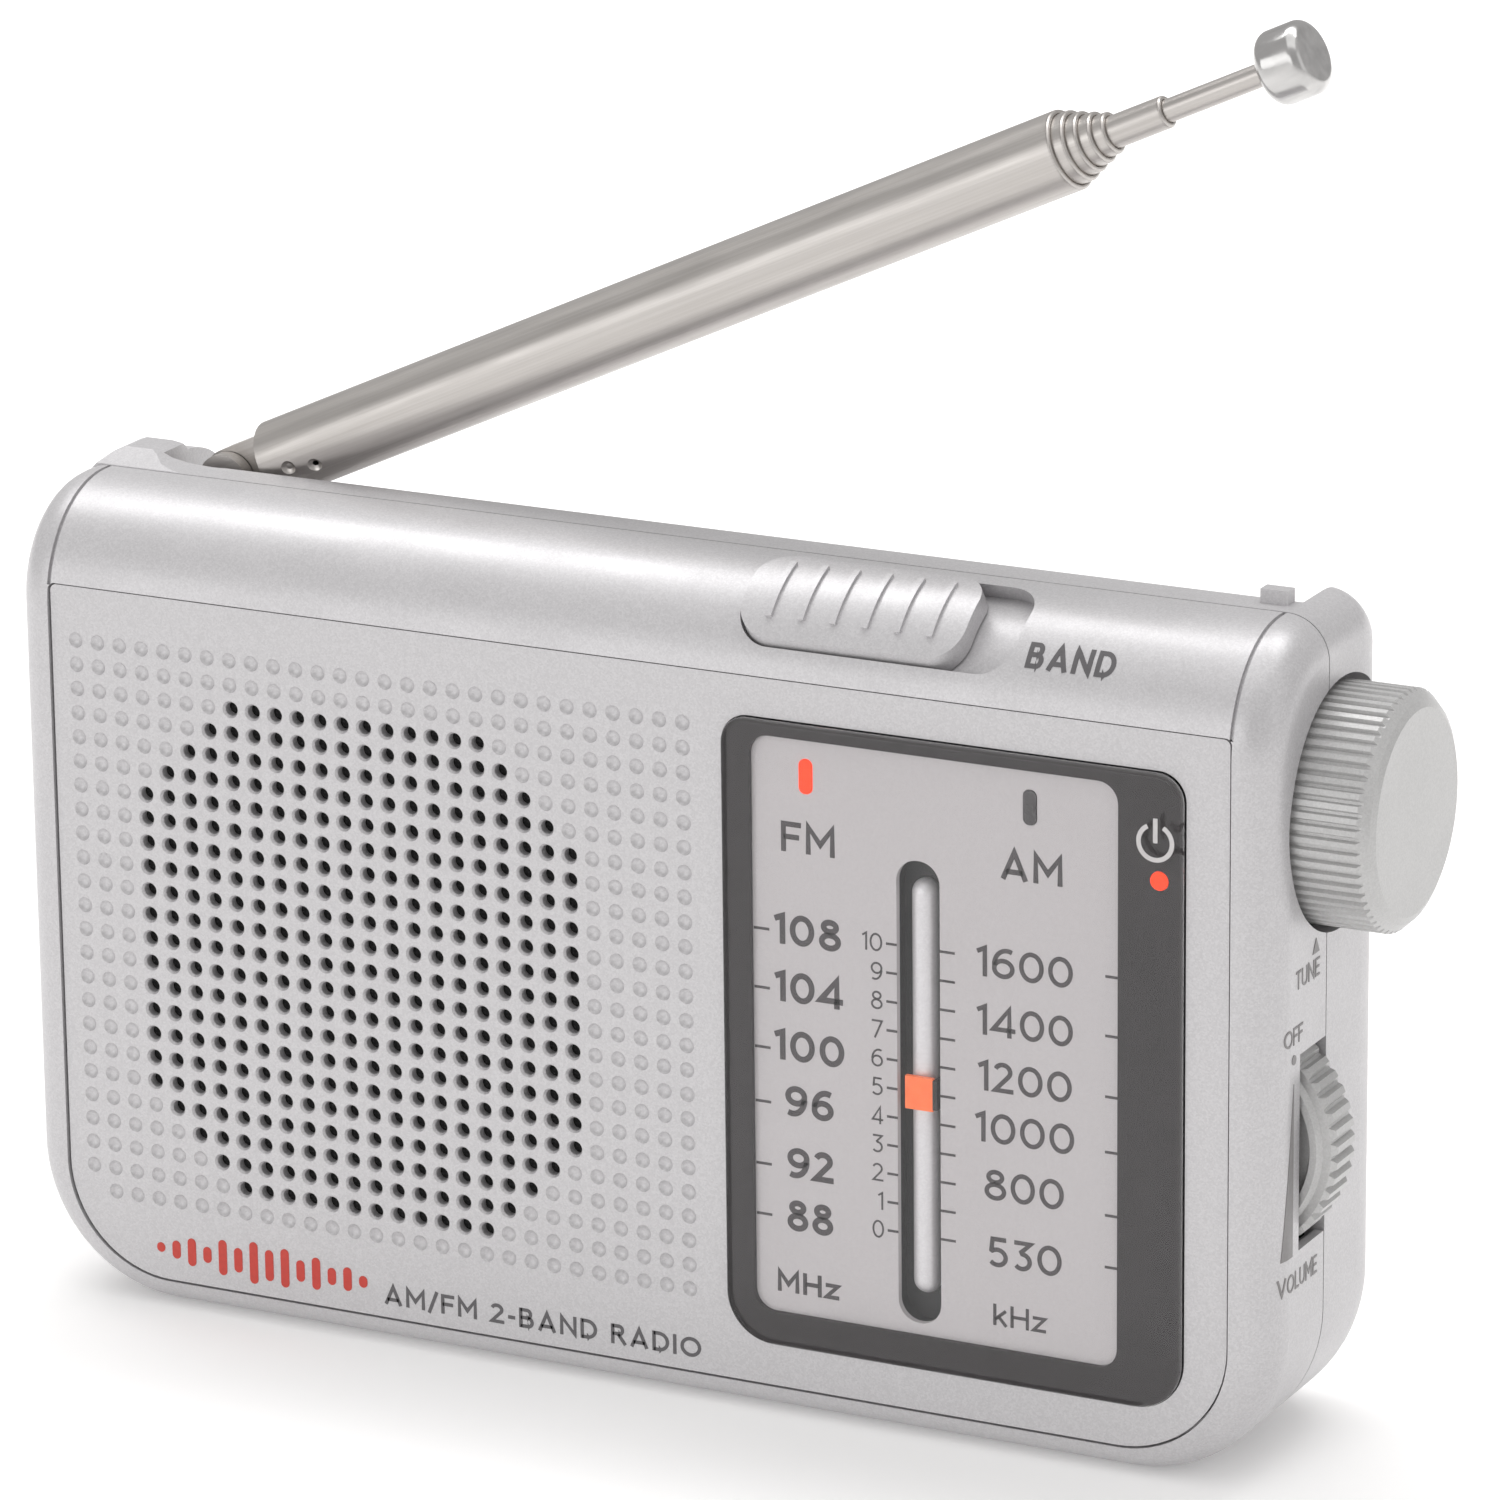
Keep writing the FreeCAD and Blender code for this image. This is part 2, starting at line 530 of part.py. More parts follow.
def dial():
    lens_back = deep("lens_sheet - lens_proud")
    node("dial_lens", slab("window_left", "window_right", deep("-lens_proud"), lens_back, "window_low", "window_high",
                           4.4, 2.4, 0.5))
    mask = slab("window_left", "window_right", lens_back + " + 0.06", deep("panel_back"), "window_low", "window_high",
                4.4, 2.4)
    sight = slab("scale_left", "scale_right", deep("0"), deep("2"), "scale_low", "scale_high", 1.85, 1.85)
    led_hole = rod("Y", "0.85", deep("0"), deep("2"), "power_lamp_x", "power_lamp_z")
    node("dial_mask", cut(mask, sight, led_hole))
    plate = slab("window_left + 1.6", "window_right - 1.6", deep("1.3"), deep("1.9"), "window_low + 1.6",
                 "window_high - 1.6", 2.9, 1.4)
    slot = slab("slot_x - slot_half", "slot_x + slot_half", deep("0"), deep("4"), "slot_low", "slot_high", 1.95, 1.95)
    lamps = [slab(f"{x} - 0.65", f"{x} + 0.65", deep("0"), deep("4"), "lamp_z - 1.55", "lamp_z + 1.55", 0.6, 0.6)
             for x in ("fm_lamp_x", "am_lamp_x")]
    power = rod("Y", "0.85", deep("0"), deep("4"), "power_lamp_x", "power_lamp_z")
    node("dial_scale_plate", cut(plate, slot, *lamps, power))
    tray = slab("slot_x - 3.4", "slot_x + 3.4", deep("2.0"), deep("3.7"), "slot_low - 1.4", "slot_high + 1.4", 3.3, 3.3)
    well = slab("slot_x - 2.2", "slot_x + 2.2", deep("0"), deep("3.3"), "slot_low - 0.2", "slot_high + 0.2", 2.1, 2.1)
    slit = box("slot_x + 1.25", "slot_x + 1.85", deep("2"), deep("4"), "pointer_z - pointer_travel - 3",
               "pointer_z + pointer_travel + 3")
    node("pointer_channel", cut(tray, well, slit))
    ridge = rod("Z", "rail_half", "rail_low + rail_half", "rail_high - rail_half", "slot_x", deep("2.95"))
    rail_box = box("slot_x - rail_half", "slot_x + rail_half", deep("1.6"), deep("3.3"), "rail_low", "rail_high")
    ends = [doc.addObject("Part::Sphere", "end") for _ in range(2)]
    for ball, z in zip(ends, ("rail_low + rail_half", "rail_high - rail_half")):
        bind(ball, Radius="rail_half", Placement__Base__x="slot_x", Placement__Base__y=deep("2.95"),
             Placement__Base__z=z)
    node("pointer_rail", common(fuse(ridge, *ends), rail_box))
    for name, x in (("fm_indicator", "fm_lamp_x"), ("am_indicator", "am_lamp_x")):
        node(name, slab(f"{x} - 0.6", f"{x} + 0.6", deep("1.2"), deep("3.2"), "lamp_z - 1.5", "lamp_z + 1.5", 0.55,
                        0.55))
    node("power_indicator", rod("Y", "0.8", deep("0.75"), deep("3.2"), "power_lamp_x", "power_lamp_z"))
    leds = [box(f"{x} - 1.1", f"{x} + 1.1", deep("3.25"), deep("4.35"), f"{z} - 1.4", f"{z} + 1.4") for x, z in (
        ("fm_lamp_x", "lamp_z"), ("am_lamp_x", "lamp_z"), ("power_lamp_x", "power_lamp_z"))]
    node("indicator_leds", fuse(*leds))
    node("led_board", led_board())


def led_board():
    """A strip that carries the three lamps, with a drop on the right for the lowest one."""
    strip = box("14", "38.6", deep("4.4"), deep("5.2"), "lamp_z - 1.8", "lamp_z + 2.4")
    drop = box("44.4", "52", deep("4.4"), deep("5.2"), "power_lamp_z - 1.8", "lamp_z + 2.4")
    bridge = box("37.6", "45.4", deep("3.6"), deep("4.5"), "lamp_z + 1.6", "lamp_z + 2.4")
    return fuse(strip, drop, bridge)


# Gears: involute teeth, thinned a little so that they run with backlash

MODULE, TEETH = size("gear_module"), int(size("gear_teeth"))
GEAR_RADIUS = MODULE * TEETH / 2
PRESSURE = math.radians(20)


def gear_outline(phase):
    """The outline of a gear, with a tooth centred at the phase angle (radians)."""
    base = GEAR_RADIUS * math.cos(PRESSURE)
    tip, root = GEAR_RADIUS + 0.9 * MODULE, GEAR_RADIUS - 1.2 * MODULE
    backlash = 0.12
    involute = math.tan(PRESSURE) - PRESSURE
    half = math.pi / (2 * TEETH) - backlash / (2 * GEAR_RADIUS) + involute
    points = []
    for tooth in range(TEETH):
        centre = phase + 2 * math.pi * tooth / TEETH
        flank = []
        for step in range(5):
            r = max(root, base) + (tip - max(root, base)) * step / 4
            roll = math.acos(min(1, base / r))
            flank.append((r, half - (math.tan(roll) - roll)))
        for r, off in [(root, flank[0][1])] + flank:
            points.append((r * math.cos(centre - off), r * math.sin(centre - off)))
        for r, off in reversed([(root, flank[0][1])] + flank):
            points.append((r * math.cos(centre + off), r * math.sin(centre + off)))
    clean = [p for p, q in zip(points, points[1:] + points[:1]) if math.dist(p, q) > 1e-4]
    return clean


def gear(left, z, phase):
    return prism(gear_outline(phase), "X", left, "gear_right", TUNE_Y, z)


IDLER_Z = f"tune_z - gear_module * gear_teeth"


def tuning():
    knob_length = size("knob_out") - size("knob_base")
    radius = size("knob_radius")
    blank = turned("X", "knob_base", TUNE_Y, "tune_z", [
        (0, 0), (0, radius - 0.5), (1.1, radius - 0.5), (1.4, radius), (knob_length - 1.2, radius),
        (knob_length - 0.3, radius - 0.85), (knob_length, radius - 1.5), (knob_length, 0)])
    ribs = 62
    outline = []
    for rib in range(ribs):
        for share, r in ((0.0, radius), (0.45, radius), (0.6, radius - 0.32), (0.85, radius - 0.32)):
            a = 2 * math.pi * (rib + share) / ribs
            outline.append((r * math.cos(a), r * math.sin(a)))
    ribbed = common(blank, prism(outline, "X", "knob_base + 1.2", "knob_out + 1", TUNE_Y, "tune_z"))
    base = rod("X", "knob_radius - 0.5", "knob_base", "knob_base + 1.4", TUNE_Y, "tune_z")
    bore = rod("X", "shaft_radius", "50", "64", TUNE_Y, "tune_z")
    node("tuning_knob", cut(fuse(ribbed, base), bore))
    node("tuning_shaft", rod("X", "shaft_radius", "32", "64", TUNE_Y, "tune_z"))
    hole = rod("X", "shaft_radius", "30", "64", TUNE_Y, "tune_z")
    node("tuning_gear", cut(gear("knob_gear_left", "tune_z", -math.pi / 2), hole))
    pitch_angle = 2 * math.pi / TEETH
    axle_hole = rod("X", "1.3", "30", "64", TUNE_Y, IDLER_Z)
    node("idler_gear", cut(gear("gear_left", IDLER_Z, math.pi / 2 + pitch_angle / 2), axle_hole))
    plate = box("44.2", "45.2", deep("9.5"), deep("body_depth - wall"), f"{IDLER_Z} - 2.4", "tune_z + 5")
    pin = rod("X", "1.25", "38.7", "44.5", TUNE_Y, IDLER_Z)
    shaft_hole = rod("X", "shaft_radius + 0.06", "40", "47", TUNE_Y, "tune_z")
    node("gear_bracket", cut(fuse(plate, pin), shaft_hole))
    case = box("29", "38.2", deep("tune_depth - 8"), deep("tune_depth + 8"), "tune_z - 8", "tune_z + 8")
    node("tuning_capacitor", cut(case, rod("X", "shaft_radius + 0.06", "31.5", "40", TUNE_Y, "tune_z")))


def pointer():
    """The pointer's cap, and the carriage behind it with its rack."""
    cap = box("slot_x - rail_half", "slot_x + 1.35", deep("1.12"), deep("1.55"), "pointer_z - 1.45", "pointer_z + 1.45")
    node("pointer_cap", cap)
    neck = box("slot_x + 1.35", "slot_x + 1.75", deep("1.12"), deep("4.6"), "pointer_z - 1.3", "pointer_z + 1.3")
    arm = box("slot_x + 1.35", "rack_right", deep("4.0"), deep("4.8"), "pointer_z - 2.5", "pointer_z + 2.5")
    pitch_line = size("tune_depth") - GEAR_RADIUS
    mesh_z = value(IDLER_Z)
    pitch = math.pi * MODULE
    back, root, tip = 4.7, pitch_line - 1.2 * MODULE, pitch_line + 0.9 * MODULE
    turns = TEETH / 4
    first_gap = (turns - math.floor(turns)) * pitch
    reach = size("pointer_travel") + 1.2
    slope = math.tan(PRESSURE)
    teeth = []
    count = int(reach // pitch) + 1
    for index in range(-count, count + 1):
        z = mesh_z + first_gap + index * pitch
        if abs(z - mesh_z) > reach:
            continue
        half = pitch / 4 - 0.06
        teeth.append([(root, z - half - slope * (pitch_line - root)), (tip, z - half + slope * (tip - pitch_line)),
                      (tip, z + half - slope * (tip - pitch_line)), (root, z + half + slope * (pitch_line - root))])
    teeth.sort(key=lambda t: t[0][1])
    low, high = teeth[0][0][1] - 0.3, teeth[-1][3][1] + 0.1
    points = [(back, low), (root, low)] + [p for tooth in teeth for p in tooth] + [(root, high), (back + 0.5, high),
                                                                                    (back, high - 1.2)]
    rack = prism([(FRONT_Y + y, z) for y, z in points], "X", "gear_left", "rack_right")
    node("pointer_carriage", fuse(neck, arm, rack))


# Volume

def volume():
    length = size("volume_back") - size("volume_front")
    radius = size("volume_radius")
    y0 = deep("volume_front")
    teeth = 46
    outline = []
    for tooth in range(teeth):
        for share, r in ((0.0, radius), (0.4, radius), (0.6, radius - 0.5), (0.8, radius - 0.5)):
            a = 2 * math.pi * (tooth + share) / teeth
            outline.append((r * math.cos(a), r * math.sin(a)))
    blank = turned("Y", y0, "volume_x", "volume_z", [
        (0.8, 0), (0.8, radius - 2.6), (0, radius - 2.2), (0, radius - 1.6), (0.5, radius - 1.2), (0.5, radius - 0.5),
        (0.8, radius), (length - 0.4, radius), (length, radius - 0.4), (length, 7.4), (2.4, 7.4), (2.4, 0)])
    edge = prism(outline, "Y", y0, deep("volume_back + 1"), "volume_x", "volume_z")
    node("volume_wheel", cut(common(blank, edge), rod("Y", "1.2", deep("5"), deep("12"), "volume_x", "volume_z")))
    shaft = fuse(rod("Y", "2.2", deep("6.1"), deep("6.8"), "volume_x", "volume_z"),
                 rod("Y", "1.2", deep("6.8"), deep("11.6"), "volume_x", "volume_z"))
    node("volume_spindle", shaft)
    pot = cut(rod("Y", "5.4", deep("8.9"), deep("12"), "volume_x", "volume_z"),
              rod("Y", "1.28", deep("8"), deep("11.7"), "volume_x", "volume_z"))
    node("volume_potentiometer", pot)
    node("volume_board", box("44", "57.6", deep("12"), deep("13.2"), "volume_z - 10", "volume_z + 9"))


# Band slider and its switch

def band():
    left = size("band_left") + 0.25
    right = left + size("band_knob")
    core = Part.makeCylinder(size("band_floor") + 0.2, 80, Vector(0, FRONT_Y + BROW, TOP - BROW), Vector(1, 0, 0))
    cap = Part.makeCylinder(size("band_knob_top"), 80, Vector(0, FRONT_Y + BROW, TOP - BROW), Vector(1, 0, 0))
    body = brow_prism(left, right, 0.25, 3.0).common(cap.cut(core))
    ribs = [angle_ring(left + 2.9 + 2.97 * i - 0.28, left + 2.9 + 2.97 * i + 0.28, size("band_knob_top") - 0.3,
                       size("band_knob_top") + 0.28, 40, 72) for i in range(6)]
    stem = box("19", "22", deep("7"), deep("9"), "body_top - 5", "body_top - 0.8")
    node("band_slider", fuse(shaped(body), stem, *[shaped(rib) for rib in ribs]))
    node("band_switch_lever", box("19.5", "21.5", deep("7.2"), deep("8.8"), "body_top - 8.1", "body_top - 5"))
    node("band_switch", box("13", "28", deep("5.6"), deep("12"), "body_top - 12.8", "body_top - 8.2"))


# Speaker

def speaker():
    y0 = deep("front_wall_back")
    node("speaker_frame", turned("Y", y0, "speaker_x", "speaker_z", [
        (0.05, 24.0), (0.05, 27.0), (1.2, 27.0), (1.2, 25.2), (3.6, 20.0), (5.0, 12.0), (5.0, 5.0), (4.3, 5.0),
        (4.3, 11.6), (2.9, 19.4), (0.9, 24.0)]))
    node("speaker_magnet", rod("Y", "7.2", deep("7.5"), deep("11.2"), "speaker_x", "speaker_z"))
    node("speaker_cone", turned("Y", y0, "speaker_x", "speaker_z", [
        (0.35, 23.7), (0.6, 23.7), (0.2 + 0.4, 21.0), (3.3, 5.6), (3.3, 0), (2.9, 0), (2.9, 5.4), (0.25, 20.8)]))
    node("grille_cloth", rod("Y", "25.8", deep("1.3"), deep("1.7"), "speaker_x", "speaker_z"))


# Batteries and contacts

def batteries():
    for index, name in enumerate(("battery_lower", "battery_upper")):
        z = f"(cell_low_z + {index} * cell_pitch)"
        facing = 1 if index else -1
        y = deep("cell_depth")
        if facing > 0:
            can = rod("X", "cell_radius", "cell_left", "cell_left + cell_length - 1.4", y, z)
            tip = rod("X", "2.7", "cell_left + cell_length - 1.5", "cell_left + cell_length", y, z)
        else:
            can = rod("X", "cell_radius", "cell_left + 1.4", "cell_left + cell_length", y, z)
            tip = rod("X", "2.7", "cell_left", "cell_left + 1.5", y, z)
        node(name, fuse(can, tip))
    y = deep("cell_depth")
    low_z, high_z = "cell_low_z", "(cell_low_z + cell_pitch)"
    plates = []
    for z in (low_z, high_z):
        plates.append(box("cell_left + cell_length + 0.5", "cell_left + cell_length + 0.95", deep("13"), deep("22.5"),
                          f"{z} - 4.6", f"{z} + 4.6"))
    stud = rod("X", "2.0", "cell_left + cell_length", "cell_left + cell_length + 0.6", y, high_z)
    spring_pad = rod("X", "3.4", "cell_left + cell_length", "cell_left + cell_length + 0.6", y, low_z)
    node("battery_terminals", fuse(*plates, spring_pad, stud))
    bridge = box("cell_left - 3.05", "cell_left - 2.6", deep("13"), deep("22.5"), f"{low_z} - 4.6", f"{high_z} + 4.6")
    coils = [rod("X", 4.4 - 0.55 * i, f"cell_left - {2.62 - 0.655 * i}", f"cell_left - {2.62 - 0.655 * (i + 1)}", y,
                 high_z) for i in range(4)]
    stud = rod("X", "2.0", "cell_left - 2.7", "cell_left", y, low_z)
    node("battery_spring_bridge", fuse(bridge, *coils, stud))


# Circuit board and what is soldered to it

def electronics():
    node("main_board", box("-16", "27.5", deep("12"), deep("13.2"), "43", "66"))
    node("tuner_chip", box("0", "7", deep("10.3"), deep("12"), "50", "54"))
    cans = [box(x, x + 5, deep("13.2"), deep("18.6"), 46, 51) for x in (-12, -4, 4)]
    node("tuned_coil_cans", fuse(*cans))
    caps = [rod("Y", "2.4", deep("13.2"), deep("16.2"), x, 53.7) for x in (-8, 0, 8)]
    node("capacitors", fuse(*caps))
    node("ferrite_rod", rod("X", "3.6", "-38", "24", deep("21.0"), "60.8"))
    node("ferrite_coil", cut(rod("X", "4.1", "-12", "12", deep("21.0"), "60.8"),
                             rod("X", "3.6", "-13", "13", deep("21.0"), "60.8")))
    clips = [box(x, x + 3, deep("13.2"), deep("20"), 56.4, 65.2) for x in (18, -16)]
    node("ferrite_clips", fuse(*[cut(c, rod("X", "3.6", "-40", "40", deep("21.0"), "60.8")) for c in clips]))


# Earphone jack

def jack():
    y, z = deep("jack_depth"), "jack_z"
    nose = rod("X", "jack_nose", "-body_width / 2", "-57.5", y, z)
    case = box("-57.9", "-body_width / 2 + jack_length + 1", f"{y} - 4", f"{y} + 4", f"{z} - 4", f"{z} + 4")
    bore = rod("X", "jack_bore", "-61", "-body_width / 2 + jack_length", y, z)
    node("earphone_jack", cut(fuse(nose, case), bore))


# Screws

def screws():
    pieces = []
    for x, z in SCREWS:
        head = rod("Y", "2.2", deep("17.05"), deep("18.6"), x, z)
        shank = rod("Y", "1.0", deep("5"), deep("17.1"), x, z)
        cross = [box(x - a, x + a, deep("17.9"), deep("19"), z - b, z + b) for a, b in ((1.3, 0.25), (0.25, 1.3))]
        pieces.append(cut(fuse(head, shank), *cross))
    node("cabinet_screws", fuse(*pieces))


# Antenna: the parts above the swivel are drawn flat along X from the pivot, then tilted to rest

def raised(label, thing):
    """Tilt a piece drawn along +X from the pivot up to the angle at rest."""
    tilted = shaped(thing)
    turn = Rotation(Vector(0, -1, 0), size("rest_tilt"))
    tilted.Placement = Placement(Vector(value("pivot_x"), value(deep("pivot_depth")), size("pivot_z")), turn)
    return node(label, tilted)


SECTION_RADII = (3.5, 3.08, 2.66, 2.24, 1.82, 1.4)
ROD_RADIUS = 1.0
# Punch marks that hold the mast's foot: distance from the pivot, and degrees above the front
MAST_PUNCHES = ((7.4, -15.5), (9.9, -26.4))
SECTION_OUT = (0, 1.1, 2.1, 3.2, 4.3, 9.6)
ROD_OUT = 19.0


def punch_centre(distance, degrees):
    a, radius = math.radians(degrees), SECTION_RADII[0] + 0.5
    return Vector(distance, -radius * math.cos(a), radius * math.sin(a))


def antenna():
    swivel_y = deep("pivot_depth")
    floor = "pivot_z - trough_radius"
    disc = rod("Z", "3.6", f"{floor} + 0.15", f"{floor} + 1.1", "pivot_x", swivel_y)
    stem = rod("Z", "2.0", f"{floor} - 4", f"{floor} + 0.3", "pivot_x", swivel_y)
    cheeks = []
    for side in (-1, 1):
        y0, y1 = (f"{swivel_y} + 1.3", f"{swivel_y} + 2.7") if side > 0 else (f"{swivel_y} - 2.7", f"{swivel_y} - 1.3")
        cheeks.append(fuse(box("pivot_x - 2.4", "pivot_x + 2.4", y0, y1, f"{floor} + 0.9", "pivot_z"),
                           rod("Y", "2.4", y0, y1, "pivot_x", "pivot_z")))
    pin_hole = rod("Y", "1.0", f"{swivel_y} - 4", f"{swivel_y} + 4", "pivot_x", "pivot_z")
    node("antenna_swivel", cut(fuse(disc, stem, *cheeks), pin_hole))
    node("antenna_pivot_pin", rod("Y", "1.0", f"{swivel_y} - 2.95", f"{swivel_y} + 2.95", "pivot_x", "pivot_z"))
    washer = cut(rod("Z", "4.2", f"{floor} - wall - 1.0", f"{floor} - wall - 0.2", "pivot_x", swivel_y),
                 rod("Z", "2.0", "60", "70", "pivot_x", swivel_y))
    node("antenna_washer", washer)
    node("antenna_screw", rod("Z", "3.0", f"{floor} - 5.4", f"{floor} - 4", "pivot_x", swivel_y))

    along = Vector(1, 0, 0)
    start, end, wall = size("mast_start"), size("mast_end"), size("mast_wall")
    plate = Part.makeBox(8.5, 2.4, 5.2, Vector(0, -1.2, -2.6))
    eye = Part.makeCylinder(2.6, 2.4, Vector(0, -1.2, 0), Vector(0, 1, 0))
    plug = Part.makeCylinder(SECTION_RADII[0] - wall, 4.2, Vector(start + 0.3, 0, 0), along)
    hole = Part.makeCylinder(1.05, 6, Vector(0, -3, 0), Vector(0, 1, 0))
    reach = Part.makeCylinder(SECTION_RADII[0] - wall, 9, Vector(-1, 0, 0), along)
    tang = plate.common(reach).fuse([eye, plug]).cut(hole).removeSplitter()
    raised("antenna_tang", tang)
    for index, radius in enumerate(SECTION_RADII):
        first = start if index == 0 else start + 5 + index + (3 if index == 5 else 0)
        last = end + SECTION_OUT[index]
        tube = Part.makeCylinder(radius, last - first, Vector(first, 0, 0), along)
        hollow = Part.makeCylinder(radius - wall, last - first + 2, Vector(first - 1, 0, 0), along)
        tube = tube.cut(hollow)
        if index == 0:
            tube = tube.cut([Part.makeSphere(0.85, punch_centre(*punch)) for punch in MAST_PUNCHES])
        raised(f"antenna_section_{index + 1}", tube)
    rod_start = start + 24
    raised("antenna_rod", Part.makeCylinder(ROD_RADIUS, end + ROD_OUT + 1 - rod_start, Vector(rod_start, 0, 0), along))
    tip = Part.makeCylinder(3.15, 5.2, Vector(end + ROD_OUT, 0, 0), along)
    tip = tip.makeChamfer(0.5, [e for e in tip.Edges if e.Closed and e.Curve.TypeId == "Part::GeomCircle"])
    socket = Part.makeCylinder(ROD_RADIUS, 1.0, Vector(end + ROD_OUT, 0, 0), along)
    raised("antenna_tip", tip.cut(socket))


front_cabinet()
back_cabinet()
cell_cover()
battery_door()
face_panel()
dial()
tuning()
pointer()
volume()
band()
speaker()
batteries()
electronics()
jack()
screws()
antenna()

doc.recompute()

failed = [thing.Label for thing in doc.Objects if {"Invalid", "Error"} & set(thing.State)]
if failed:
    raise RuntimeError(f"failed to build: {failed}")
for label, thing in parts.items():
    shape = thing.Shape
    if shape.isNull() or not shape.isValid() or not shape.Solids:
        raise RuntimeError(f"{label} is not a valid solid")

os.makedirs("parts", exist_ok=True)
for label, thing in parts.items():
    thing.Shape.exportStep(f"parts/{label}.step")
print(len(parts), "parts")
for label, thing in sorted(parts.items()):
    bounds = thing.Shape.BoundBox
    print(f"{label:26s} {len(thing.Shape.Solids)} solid(s) {thing.Shape.Volume:9.1f} mm3")
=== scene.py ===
import json
import math

import bmesh
import bpy
from mathutils import Matrix, Vector


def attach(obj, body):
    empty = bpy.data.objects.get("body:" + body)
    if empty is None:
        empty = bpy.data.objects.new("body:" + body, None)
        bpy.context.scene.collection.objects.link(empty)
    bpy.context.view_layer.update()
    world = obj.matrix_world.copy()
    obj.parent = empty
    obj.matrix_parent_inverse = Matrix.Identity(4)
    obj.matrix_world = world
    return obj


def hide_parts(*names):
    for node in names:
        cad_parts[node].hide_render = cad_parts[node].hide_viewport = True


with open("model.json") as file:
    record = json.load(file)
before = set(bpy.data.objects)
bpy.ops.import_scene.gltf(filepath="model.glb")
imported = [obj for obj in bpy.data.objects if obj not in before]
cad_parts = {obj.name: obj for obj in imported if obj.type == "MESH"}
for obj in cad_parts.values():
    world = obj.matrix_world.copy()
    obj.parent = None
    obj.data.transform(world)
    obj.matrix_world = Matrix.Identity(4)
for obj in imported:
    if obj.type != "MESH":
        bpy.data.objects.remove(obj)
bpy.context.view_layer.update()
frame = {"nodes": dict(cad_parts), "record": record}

MM = 0.001
NODES = frame["nodes"]
FRONT_Y = -13.5          # the front plane, in millimetres like every size below
BODY_TOP = 73.6
SIDE_X = 60.0
BROW_RADIUS = 10.0
EDGE_RADIUS = 3.8
TILT = math.radians(24.5)
PIVOT = Vector((-47.5, 5.0, 71.9))


# Materials

class Look:
    """A material's node tree: a Principled shader, and patterns in the object's own coordinates."""

    def __init__(self, name, colour, metallic=0.0, roughness=0.5, **sockets):
        self.material = bpy.data.materials.new(name)
        self.material.use_nodes = True
        self.tree = self.material.node_tree
        self.shader = self.tree.nodes["Principled BSDF"]
        self.set("Base Color", (*colour, 1))
        self.set("Metallic", metallic)
        self.set("Roughness", roughness)
        for socket, value in sockets.items():
            self.set(socket.replace("_", " "), value)
        self.place = self.tree.nodes.new("ShaderNodeTexCoord").outputs["Object"]

    def set(self, socket, value):
        self.shader.inputs[socket].default_value = value

    def link(self, source, target):
        self.tree.links.new(source, target)

    def stretched(self, scale, turn=0.0):
        """The coordinates turned about Y, then scaled along each axis."""
        place = self.place
        for rotation, factor in ((turn, (1, 1, 1)), (0.0, scale)):
            mapping = self.tree.nodes.new("ShaderNodeMapping")
            mapping.inputs["Rotation"].default_value = (0, rotation, 0)
            mapping.inputs["Scale"].default_value = factor
            self.link(place, mapping.inputs["Vector"])
            place = mapping.outputs["Vector"]
        return place

    def noise(self, scale, detail=2.0, place=None):
        node = self.tree.nodes.new("ShaderNodeTexNoise")
        node.inputs["Scale"].default_value = scale
        node.inputs["Detail"].default_value = detail
        self.link(place or self.place, node.inputs["Vector"])
        return node.outputs["Fac"]

    def flakes(self, scale):
        """A random value for each small cell."""
        node = self.tree.nodes.new("ShaderNodeTexVoronoi")
        node.inputs["Scale"].default_value = scale
        self.link(self.place, node.inputs["Vector"])
        split = self.tree.nodes.new("ShaderNodeSeparateColor")
        self.link(node.outputs["Color"], split.inputs["Color"])
        return split.outputs["Red"]

    def wave(self, scale, axis):
        node = self.tree.nodes.new("ShaderNodeTexWave")
        node.bands_direction = axis
        node.inputs["Scale"].default_value = scale
        self.link(self.stretched((1, 1, 1)), node.inputs["Vector"])
        return node.outputs["Fac"]

    def ramp(self, factor, stops):
        node = self.tree.nodes.new("ShaderNodeValToRGB")
        elements = node.color_ramp.elements
        while len(elements) < len(stops):
            elements.new(0.5)
        for element, (at, colour) in zip(elements, stops):
            element.position = at
            element.color = (*colour, 1)
        self.link(factor, node.inputs["Fac"])
        return node.outputs["Color"]

    def colour(self, factor, *stops):
        self.link(self.ramp(factor, stops), self.shader.inputs["Base Color"])
        return self

    def rough(self, factor, low, high):
        node = self.tree.nodes.new("ShaderNodeMapRange")
        node.inputs["From Min"].default_value = 0.3
        node.inputs["From Max"].default_value = 0.7
        node.inputs["To Min"].default_value = low
        node.inputs["To Max"].default_value = high
        self.link(factor, node.inputs["Value"])
        self.link(node.outputs["Result"], self.shader.inputs["Roughness"])
        return self

    def bump(self, height, distance, strength=1.0):
        node = self.tree.nodes.new("ShaderNodeBump")
        node.inputs["Distance"].default_value = distance * MM
        node.inputs["Strength"].default_value = strength
        self.link(height, node.inputs["Height"])
        normal = self.shader.inputs["Normal"]
        if normal.is_linked:
            self.link(normal.links[0].from_socket, node.inputs["Normal"])
        self.link(node.outputs["Normal"], normal)
        return self


def grey(value, warm=0.0):
    return (value * (1 + warm), value, value * (1 - warm))


def satin_silver(name, low, high, metallic, roughness, flake=7000, **sockets):
    """Silver lacquer on plastic: fine flakes, a soft cloudiness and a very fine orange peel."""
    look = Look(name, high, metallic, roughness, **sockets)
    look.colour(look.flakes(flake), (0.0, low), (0.55, tuple((a + b) / 2 for a, b in zip(low, high))),
                (1.0, high))
    look.rough(look.noise(160, 3), roughness - 0.03, roughness + 0.04)
    look.bump(look.noise(8500, 1), 0.003, 0.3)
    return look


